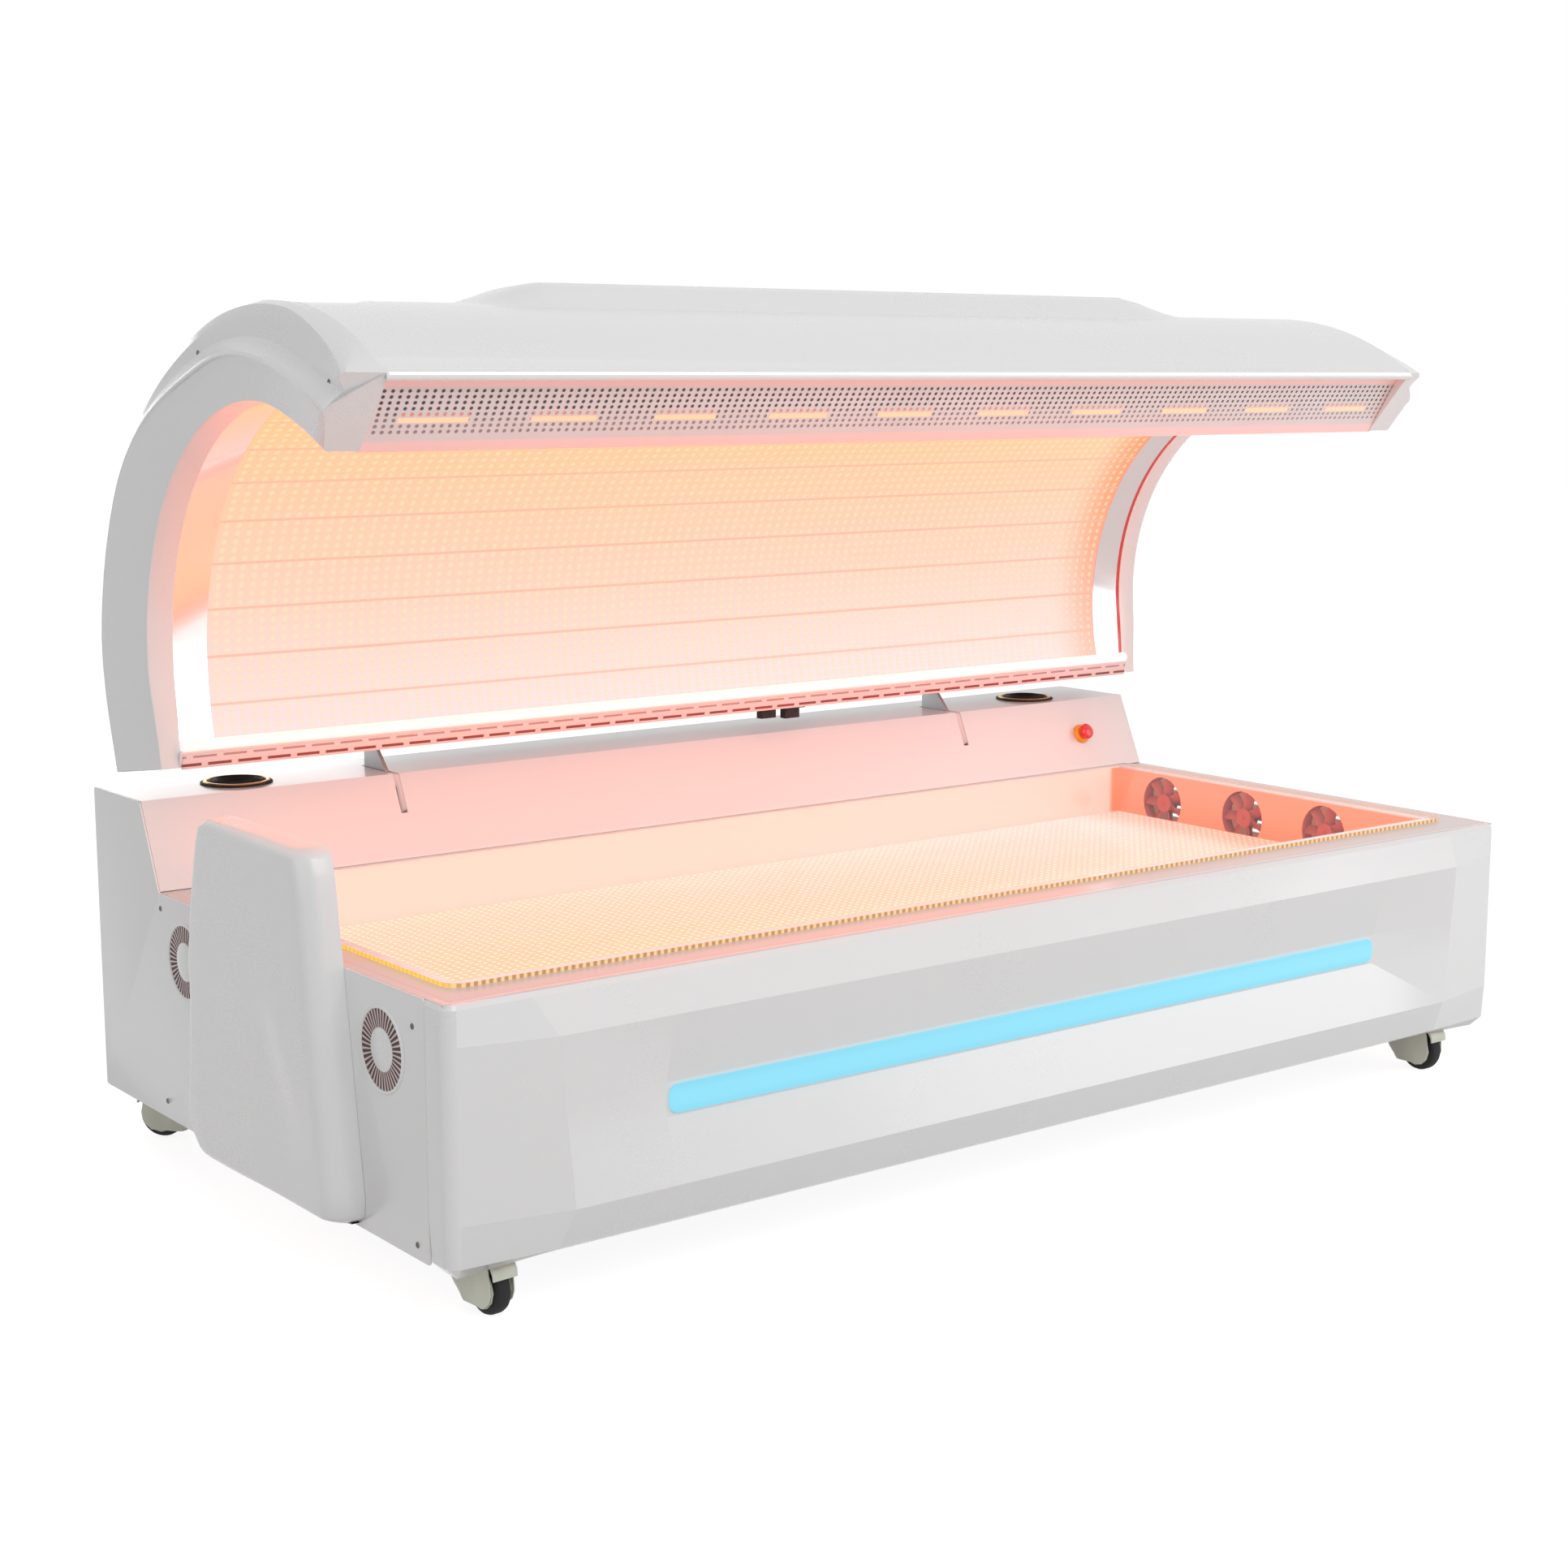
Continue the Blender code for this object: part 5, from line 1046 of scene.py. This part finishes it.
class BED_OT_end_panels(bpy.types.Operator):
    """Model the two end panels with their vents and screws, and the head end's cowl"""

    bl_idname = "bed.end_panels"
    bl_label = "End panels"

    def execute(self, context):
        outline = [bed(0.003 - HALF_L, y, z) for y, z in corner_arcs(PANEL_OUTLINE, 0.006)]
        head = slab("end_panel_left", outline, (-0.003, 0, 0))
        soften(head, 0.0007)
        foot = copy_of("right_end_panel", "end_panel_right", False)
        edit(foot)
        seam = bed(0, PANEL_OUTLINE[0][0], 0)
        bpy.ops.mesh.bisect(plane_co=seam, plane_no=(0, -1, 0), clear_outer=True, use_fill=True)
        bpy.ops.object.mode_set(mode="OBJECT")
        for side, panel in (("left", head), ("right", foot)):
            dress(panel, panel_white(), "base", "white_sheet", side + "_end_panel")
        self.cowl()
        for name, y in VENTS:
            self.vent(name, y)
        for i, (y, z) in enumerate(PANEL_SCREWS):
            for side, sign in SIDES:
                screw_head("panel_screw_%s_%d" % (side, i), bed(sign * HALF_L, y, z), (sign, 0, 0), "base")
        return {"FINISHED"}

    def cowl(self):
        """A pillow-shaped cover whose lower rear part is folded back a little."""
        fold = COWL_FOLD[0]
        heights = [COWL_LOW + COWL_FOOT_R * share for share in ROUNDING]
        heights += [between(heights[-1], fold, (i + 1) / 12) for i in range(12)]
        top = [COWL_HIGH - COWL_TOP_R * share for share in reversed(ROUNDING)]
        heights += [between(fold, top[0], (i + 1) / 9) for i in range(8)] + top
        rows = []
        for i, height in enumerate(heights):
            section = cowl_row(height)
            if i in (0, len(heights) - 1):
                rows.append([bed(-HALF_L - COWL_GAP, y, height) for out, y in section])
            rows.append([bed(-HALF_L - COWL_GAP - out, y, height) for out, y in section])
        rows.append(rows.pop(-2))
        cowl = loft("head_cowl", rows)
        bpy.ops.mesh.remove_doubles(threshold=MERGE)
        close_ends()
        outward()
        smooth(cowl, 40.0)
        dress(cowl, white_cover(), "base", "white_shell", "head_end_panel")

    def vent(self, name, y):
        """A round vent: a disc painted dark as the shade inside it, under fine radial fins, with a pale hub
        and rim.
        """
        middle, out = bed(-HALF_L, y, 0.355), Vector((-1, 0, 0))
        band = [(0.027, 0.0002), (0.027, 0.0006), (0.0565, 0.0006), (0.0565, 0.0002), (0.027, 0.0002)]
        # A disc painted dark behind the fins: painted shade inside the vent
        disc = spun("vent_disc_" + name, band, middle, out, 48)
        dress(disc, painted("vent_dusk", (0.055, 0.030, 0.030), 0.6), "base", "white_sheet")
        spots = ((0.029, -0.0008), (0.029, 0.0008), (0.0555, 0.0017), (0.0555, -0.0017))
        outline = [middle + Vector((-0.0006, along, up)) for along, up in spots]
        fins = slab("vent_fins_" + name, outline, out * 0.0007)
        edit(fins)
        turn = 2 * pi * (1 - 1 / VENT_FINS)
        bpy.ops.mesh.spin(dupli=True, steps=VENT_FINS - 1, angle=turn, center=middle, axis=out)
        outward()
        bpy.ops.object.mode_set(mode="OBJECT")
        dress(fins, moulded("vent_rose", (0.64, 0.50, 0.49), 0.4), "base", "white_sheet")
        rim = [(0.0545, 0.0002), (0.0555, 0.0022), (0.0585, 0.0024), (0.0605, 0.0002), (0.0545, 0.0002)]
        dress(spun("vent_rim_" + name, rim, middle, out, 48), white_cover(), "base", "white_sheet")
        cap = [(0, 0.0036), (0.014, 0.0033), (0.024, 0.0026), (0.0300, 0.0010), (0.0300, 0.0002),
               (0, 0.0002)]
        dress(spun("vent_hub_" + name, cap, middle, out, 40), white_cover(), "base", "white_sheet")


@shared
def slot_lining(name):
    """Pale walls of the hinge slots, with the lamps' light that shines into them painted on as a pink glow.
    """
    finish, maker, feed = new_finish(name, Roughness=0.5)
    cloud = maker.noise(40.0)
    # Emission: the lamps' light on the walls, painted as a pink glow
    feed(Base_Color=maker.mix(cloud, (0.76, 0.70, 0.69), (0.80, 0.76, 0.76)),
         Emission_Color=maker.mix(cloud, (0.50, 0.33, 0.31), (0.56, 0.37, 0.35)), Emission_Strength=0.5)
    return finish


SLOT_X, SLOT_HALF = 0.615, 0.0063
BACK_SCREWS = (0.120, 0.552)  # heights of their two rows
# Walls beside the slots that the hinge arms move in, as (y, z)
SLOT_LINING = ((0.4850, 0.5772), (0.3770, 0.5772), (0.3525, 0.5226), (0.3700, 0.5150), (0.3860, 0.5560),
               (0.4850, 0.5560))


class BED_OT_rear_housing(bpy.types.Operator):
    """Finish the rear deck, its slope and the back cover, with the mains inlet"""

    bl_idname = "bed.rear_housing"
    bl_label = "Rear housing"

    def execute(self, context):
        coat(pale_deck(), "rear_housing")
        coat(panel_white(), "rear_back_cover")
        coat(black_plastic(), "mains_inlet")
        for side, sign in SIDES:
            for place, aside in (("inner", -1), ("outer", 1)):
                x = sign * (SLOT_X + aside * SLOT_HALF)
                outline = [bed(x, y, z) for y, z in SLOT_LINING]
                lining = slab("slot_lining_%s_%s" % (side, place), outline, (sign * aside * 0.0015, 0, 0))
                soften(lining, 0.0004)
                dress(lining, slot_lining("slot_lining"), "base", "pink_white_sheet")
        for i in range(5):
            for k, z in enumerate(BACK_SCREWS):
                spot = bed((i - 2) * 0.5, 0.553, z)
                screw_head("back_screw_%d_%d" % (k, i), spot, (0, 1, 0), "base")
        return {"FINISHED"}


def tub_glow():
    """The tub: pale on its rim, with a pink seam round it, and painted inside with a coral glow of the lamps'
    light.
    """
    finish, maker, feed = new_finish("tub_painted_glow", Coat_Weight=0.2, Coat_Roughness=0.15)
    x, y, z = maker.place()
    inside = (z - RIM_Z).rise(-0.0015, -0.0040)
    front = abs(y - (MIDDLE.y - 0.5335)).rise(0.0022, 0.0010)
    ends = abs(abs(x - MIDDLE.x) - 1.0405).rise(0.0022, 0.0010)
    seam = front.math("MAXIMUM", ends) * 0.4
    cloud = maker.noise(5.0)
    rim = maker.mix(seam, maker.mix(cloud, (0.60, 0.63, 0.635), (0.63, 0.66, 0.665)), (0.80, 0.36, 0.33))
    # Painted light: inside, the walls glow coral with the lamps' light, deeper lower down and paler on the
    # foot end's wall, over darker base colours
    end = (x - MIDDLE.x).rise(0.955, 0.970)
    deep = maker.mix((z - RIM_Z).rise(-0.02, -0.09), (1.0, 0.32, 0.18), (1.0, 0.26, 0.13))
    lit = maker.mix(end, (0.86, 0.46, 0.41), deep)
    wall = maker.mix(end, (0.62, 0.38, 0.33), (0.34, 0.07, 0.035))
    feed(Base_Color=maker.mix(inside, rim, wall), Roughness=0.34 + 0.1 * (cloud - 0.5),
         Emission_Color=maker.mix(inside, (0.0, 0.0, 0.0), lit), Emission_Strength=0.72)
    return finish


def acrylic_edge():
    """Lit edge of the acrylic sheet: dotted in front, yellow at the head end and grey at the foot end."""
    finish, maker, feed = new_finish("acrylic_edge", Base_Color=(0.30, 0.16, 0.06), Roughness=0.3)
    x, y, _ = maker.place()
    dot = (x - MIDDLE.x).off_middle(0.0115).rise(0.0042, 0.0018)
    front = maker.mix(dot, (0.86, 0.60, 0.30), (0.36, 0.18, 0.10))
    tick = (y - MIDDLE.y).off_middle(0.0115).rise(0.0034, 0.0012)
    head = maker.mix(tick, (0.98, 0.62, 0.10), (0.85, 0.46, 0.05))
    end = maker.mix((x - MIDDLE.x).rise(-0.2, 0.2), head, (0.62, 0.50, 0.48))
    feed(Emission_Color=maker.mix((y - MIDDLE.y).rise(-0.484, -0.462), front, end), Emission_Strength=0.85)
    return finish


class BED_OT_tub(bpy.types.Operator):
    """Finish the tub, its lit boards, the acrylic sheet on it, that sheet's bright edge and the fans"""

    bl_idname = "bed.tub"
    bl_label = "Tub and fans"

    def execute(self, context):
        coat(tub_glow(), "bed_tub")
        coat(clear_sheet(), "bed_acrylic_sheet")
        finish = lit_board("bed_lamps", from_middle, from_front, bed_height, False)
        coat(finish, *[name for name in frame["nodes"] if name.startswith("bed_led_board")])
        brown = painted("fan_brown", tuple(colours().fan), 0.5)
        coat(brown, *[name for name in frame["nodes"] if name.startswith("fan_")])
        self.edge()
        return {"FINISHED"}

    def edge(self):
        low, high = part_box("bed_acrylic_sheet")
        r = 0.030
        path = [Vector((low.x, high.y - 0.02, low.z))]
        for x, start in ((low.x + r, 180.0), (high.x - r, 270.0)):
            for y, z in arc((x, low.y + r), r, start, start + 90.0, 10):
                path.append(Vector((y, z, low.z)))
        path.append(Vector((high.x, high.y - 0.02, low.z)))
        edge = draw("acrylic_edge", [point + Vector((0, 0, 0.0002)) for point in path])
        sweep((0, 0, high.z - low.z - 0.0003))
        skin(edge, (low + high) / 2, 0.0006, offset=1.0)
        dress(edge, acrylic_edge(), "base", "clear_acrylic")


class BED_OT_speakers(bpy.types.Operator):
    """Model the two speakers in the deck: a ridged cone in a black frame, with a gold ring"""

    bl_idname = "bed.speakers"
    bl_label = "Speakers"

    def execute(self, context):
        gold = painted("speaker_gold", tuple(colours().gold), 0.28, 1.0)
        for side, _ in SIDES:
            low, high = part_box("speaker_" + side)
            middle = Vector(((low.x + high.x) / 2, (low.y + high.y) / 2, DECK_Z + 0.0003))
            ridges = [(0.011 + 0.003 * i, -0.012 + 0.0026 * i + 0.0012 * (i % 2)) for i in range(8)]
            dome = [(0.010 * sin(radians(a)), -0.013 + 0.005 * cos(radians(a))) for a in (0, 30, 60, 90)]
            rim = [(0.0385, 0.0042), (0.042, 0.0058), (0.0455, 0.0036)]
            frame_edge = [(0.0545, 0.0032), (0.0575, 0.0018), (0.0575, 0), (0.0447, 0), (0.0447, -0.034),
                          (0, -0.034)]
            cone = spun("speaker_cone_" + side, [*dome, *ridges, *rim, *frame_edge], middle, (0, 0, 1), 48)
            dress(cone, black_plastic(), "base", "black_plastic", "speaker_" + side)
            band = [(0.0470, 0.0033), (0.0485, 0.0049), (0.0515, 0.0049), (0.0530, 0.0033),
                    (0.0470, 0.0033)]
            ring = spun("speaker_ring_" + side, band, middle, (0, 0, 1), 48)
            dress(ring, gold, "base", "black_plastic")
        return {"FINISHED"}


class BED_OT_stop_button(bpy.types.Operator):
    """Model the emergency stop: a red mushroom head on an amber collar"""

    bl_idname = "bed.stop_button"
    bl_label = "Stop button"

    def execute(self, context):
        joint = JOINTS["estop_press"]
        axis = -Vector(joint["axis"])
        low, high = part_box("estop_collar")
        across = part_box("rear_housing")[1]
        down = Vector((0, -0.060, -(DECK_Z - RIM_Z))).normalized()
        spot = Vector(((low.x + high.x) / 2, across.y - 0.178 + 0.0028, DECK_Z)) + down * 0.072
        collar = [(0.0065, 0.0083), (0.0150, 0.0083), (0.0178, 0.0066), (0.0190, 0.0035), (0.0190, 0.0003),
                  (0.011, 0.0003), (0.011, -0.0257), (0.0065, -0.0257), (0.0065, 0.0083)]
        ring = spun("stop_collar", collar, spot, axis, 40)
        amber = painted("stop_amber", tuple(colours().collar), 0.35)
        dress(ring, amber, "base", "estop_yellow", "estop_collar")
        foot = 0.0126
        dome = [(0.0155 * sin(radians(a)), foot + 0.0065 * (1 + cos(radians(a)))) for a in range(0, 91, 10)]
        stem = [(0.006, foot), (0.006, foot - 0.020), (0, foot - 0.020)]
        head = [*dome, (0.0150, foot + 0.001), (0.0130, foot), *stem]
        button = spun("stop_head", head, spot, axis, 40)
        red = moulded("stop_red", tuple(colours().alarm), 0.22)
        dress(button, red, "estop_button", "estop_red", "estop_button")
        return {"FINISHED"}


# The casters' hoods: height, how far the sides reach ahead of the swivel and the back behind it, and flare
HOOD_LEVELS = ((0.0765, 0.050, -0.040, 0.010), (0.0700, 0.054, -0.041, 0.010),
               (0.0500, 0.057, -0.037, 0.008), (0.0350, 0.058, -0.030, 0.004),
               (0.0230, 0.053, -0.021, 0.001), (0.0140, 0.042, -0.014, 0.0))
# The part of a hood that arches over the wheel's front, as (ahead, up) from under the swivel
HOOD_BROW = ((0.046, 0.0765), (0.060, 0.0765), (0.0655, 0.0680), (0.0665, 0.0575), (0.0645, 0.0570),
             (0.0625, 0.0655), (0.0575, 0.0735), (0.046, 0.0745))
TYRE_SIDE = ((0.0043, 0.0110), (0.0110, 0.0110), (0.0125, 0.0085), (0.0235, 0.0085), (0.0250, 0.0108),
             (0.0325, 0.0110), (0.0358, 0.0095), (0.0374, 0.0055))
HOOD_HALF = 0.0195  # half a brow's width


class BED_OT_casters(bpy.types.Operator):
    """Model the casters: tyres in plated forks, under hoods"""

    bl_idname = "bed.casters"
    bl_label = "Casters"

    def execute(self, context):
        plated = painted("fork_plated", tuple(colours().fork), 0.38, 0.05)
        for corner in CORNERS:
            joint = JOINTS["caster_roll_" + corner]
            far_side = [(radius, -height) for radius, height in reversed(TYRE_SIDE)]
            tyre = [*TYRE_SIDE, *far_side, TYRE_SIDE[0]]
            wheel = spun("tyre_" + corner, tyre, Vector(joint["pos_m"]), joint["axis"], 40)
            body = "caster_wheel_" + corner
            dress(wheel, rubber("wheel_rubber"), body, "wheel_rubber", body)
            self.hood(corner, plated)
            fork = copy_of("caster_fork_" + corner, "fork_" + corner)
            soften(fork, 0.0010, 40.0)
            dress(fork, plated, "caster_fork_" + corner, "fork_green_grey", "caster_fork_" + corner)
        return {"FINISHED"}

    def hood(self, corner, finish):
        """A cover over the fork, open at the front of the wheel and closed behind the swivel."""
        swivel = Vector(JOINTS["caster_swivel_" + corner]["pos_m"])
        axle = Vector(JOINTS["caster_roll_" + corner]["pos_m"])
        ahead = Vector((axle.x - swivel.x, axle.y - swivel.y, 0)).normalized()
        aside = Vector((-ahead.y, ahead.x, 0))
        rows = []
        for height, front, back, flare in HOOD_LEVELS:
            half = [(front, 0.0185), (0.010, 0.0190), (between(0.010, back, 0.55), 0.0190 + flare),
                    (between(0.010, back, 0.85), 0.0160 + flare),
                    (between(0.010, back, 0.97), 0.0090 + flare / 2), (back, 0.0)]
            path = half + [(along, -off) for along, off in half[-2::-1]]
            level = Vector((swivel.x, swivel.y, bed(0, 0, height).z))
            rows.append([level + ahead * along + aside * off for along, off in path])
        hood = loft("hood_" + corner, rows)
        skin(hood, axle, 0.0014, 40.0, 1.0)
        dress(hood, finish, "caster_fork_" + corner, "fork_green_grey")
        level = Vector((swivel.x, swivel.y, bed(0, 0, 0).z)) - aside * HOOD_HALF
        outline = [level + ahead * along + Vector((0, 0, up)) for along, up in HOOD_BROW]
        brow = slab("hood_brow_" + corner, outline, aside * (2 * HOOD_HALF))
        soften(brow, 0.0006)
        dress(brow, finish, "caster_fork_" + corner, "fork_green_grey")


# Dark pads under the canopy's rail, as (x, lower level, upper level)
STOP_PADS = ((0.138, 0.6110, 0.6330), (0.192, 0.6070, 0.6330))


class BED_OT_frame(bpy.types.Operator):
    """Finish the frame, electrics, hinges and gas struts, and model the pads under the rail"""

    bl_idname = "bed.frame"
    bl_label = "Frame and hinges"

    def execute(self, context):
        nodes = frame["nodes"]
        coat(painted("frame_grey", (0.42, 0.43, 0.43), 0.5, 0.3), "base_frame", "floor_pan")
        coat(painted("electrics_grey", (0.35, 0.36, 0.37), 0.55), "power_supply", "control_box")
        steel = painted("hinge_steel", (0.58, 0.58, 0.57), 0.33, 0.85)
        coat(steel, *[name for name in nodes if "hinge" in name or name.startswith("strut_rod")])
        coat(black_plastic(), *[name for name in nodes if name.startswith("strut_cylinder")])
        coat(rubber("wheel_rubber"), *[name for name in nodes if name.startswith("canopy_stop")])
        coat(white_cover(), "canopy_rear_rail")
        for i, (x, low, high) in enumerate(STOP_PADS):
            corners = ((x - 0.017, 0.352), (x + 0.017, 0.352), (x + 0.017, 0.368), (x - 0.017, 0.368))
            outline = [bed(along, across, low) for along, across in corner_arcs(corners, 0.002, 2)]
            pad = slab("stop_pad_%d" % (i + 1), outline, (0, 0, high - low))
            soften(pad, 0.0008)
            dress(pad, black_plastic(), "canopy", "black_plastic")
        return {"FINISHED"}


# The stage


def seen_directly(maker):
    """1 for rays from the camera or a glossy surface, and 0 for others."""
    camera = maker.node("ShaderNodeLightPath", output="Is Camera Ray")
    return camera.math("MAXIMUM", maker.node("ShaderNodeLightPath", output="Is Glossy Ray"))


def floor_white():
    """Pale studio floor: white to the camera except where the bed's shadow falls on it."""
    finish, maker, feed = new_finish("studio_floor", Roughness=0.9)
    feed(Base_Color=maker.mix(maker.noise(0.8).rise(0.3, 0.7), (0.61, 0.61, 0.61), (0.63, 0.63, 0.63)))
    white = maker.node("ShaderNodeEmission", None, {0: (1.0, 1.0, 1.0, 1.0), 1: 1.75})
    blend_over(maker, seen_directly(maker) * 0.5, white)
    return finish


class BED_OT_stage(bpy.types.Operator):
    """Set the floor, the white surround, the studio lamps and the camera"""

    bl_idname = "bed.stage"
    bl_label = "Stage"

    def execute(self, context):
        scene = context.scene
        scene.view_settings.view_transform = "Standard"
        pick_nothing()
        bpy.ops.mesh.primitive_plane_add(size=40.0, location=(0, 0, -0.0002))
        floor = named("studio_floor")
        floor.data.materials.append(floor_white())
        self.surround(scene)
        for lamp in LAMPS:
            self.lamp(*lamp)
        bpy.ops.object.camera_add(location=bed(*CAMERA_PLACE),
                                  rotation=(radians(90 - CAMERA_DOWN), 0, radians(CAMERA_TURN)))
        camera = context.object
        camera.data.sensor_width = 36.0
        camera.data.lens = CAMERA_LENS
        camera.data.clip_end = 100.0
        scene.camera = camera
        return {"FINISHED"}

    def surround(self, scene):
        """White to the camera and in mirrors, and a softer light all round."""
        world = bpy.data.worlds.new("studio")
        world.use_nodes = True
        tree = world.node_tree
        tree.nodes.clear()
        maker = Surface(tree)
        strength = seen_directly(maker) * (1.0 - AMBIENT) + AMBIENT
        sky = maker.node("ShaderNodeBackground", None, {0: (1.0, 1.0, 1.0, 1.0), 1: strength})
        output = tree.nodes.new("ShaderNodeOutputWorld")
        maker.feed(output.inputs[0], sky)
        scene.world = world

    def lamp(self, name, place, target, size, power):
        look = bed(*target) - bed(*place)
        turn = look.to_track_quat("-Z", "Y").to_euler()
        bpy.ops.object.light_add(type="AREA", location=bed(*place), rotation=turn)
        lamp = bpy.context.object
        lamp.name = lamp.data.name = "lamp_" + name
        lamp.data.size = size
        lamp.data.energy = power


AMBIENT = 0.43
CAMERA_PLACE, CAMERA_LENS = (-2.5505, -3.2027, 1.2266), 56.76
CAMERA_DOWN, CAMERA_TURN = 9.388, -37.452
# Soft lamps: name, place, what it points at, size and power
LAMPS = (("key", (-1.2, -4.2, 3.4), (0.1, -0.2, 0.6), 3.0, 76.0),
         ("top", (0.4, -0.6, 4.6), (0.2, 0.0, 0.6), 3.6, 14.0),
         ("front_fill", (3.4, -3.4, 1.6), (0.2, -0.3, 0.5), 2.4, 46.0),
         ("left_fill", (-4.2, -0.6, 1.5), (-1.0, -0.1, 0.4), 2.4, 12.0),
         ("rear_fill", (0.4, 4.8, 1.2), (0.0, 0.5, 0.6), 2.4, 26.0))

STEPS = (BED_OT_canopy_shell, BED_OT_canopy_caps, BED_OT_canopy_grille, BED_OT_canopy_light, BED_OT_fascia,
         BED_OT_end_panels, BED_OT_rear_housing, BED_OT_tub, BED_OT_speakers, BED_OT_stop_button,
         BED_OT_casters, BED_OT_frame, BED_OT_stage)


class BED_PT_tools(bpy.types.Panel):
    """Lists the steps that build the bed's looks, and the sizes and colours that they use."""

    bl_idname = "BED_PT_tools"
    bl_label = "Therapy bed"
    bl_space_type = "VIEW_3D"
    bl_region_type = "UI"
    bl_category = "Therapy bed"

    def draw(self, context):
        for step in STEPS:
            self.layout.operator(step.bl_idname)
        for group in (context.scene.bed_sizes, context.scene.bed_colours):
            box = self.layout.box()
            for name in group.__annotations__:
                box.prop(group, name)


CLASSES = (BedSizes, BedColours, *STEPS, BED_PT_tools)


def register():
    for cls in CLASSES:
        bpy.utils.register_class(cls)
    bpy.types.Scene.bed_sizes = PointerProperty(type=BedSizes)
    bpy.types.Scene.bed_colours = PointerProperty(type=BedColours)


def unregister():
    del bpy.types.Scene.bed_colours
    del bpy.types.Scene.bed_sizes
    for cls in reversed(CLASSES):
        bpy.utils.unregister_class(cls)


def main():
    register()
    for step in STEPS:
        group, name = step.bl_idname.split(".")
        if getattr(getattr(bpy.ops, group), name)() != {"FINISHED"}:
            raise RuntimeError("the step did not finish: " + step.bl_label)


if __name__ == "__main__":
    main()
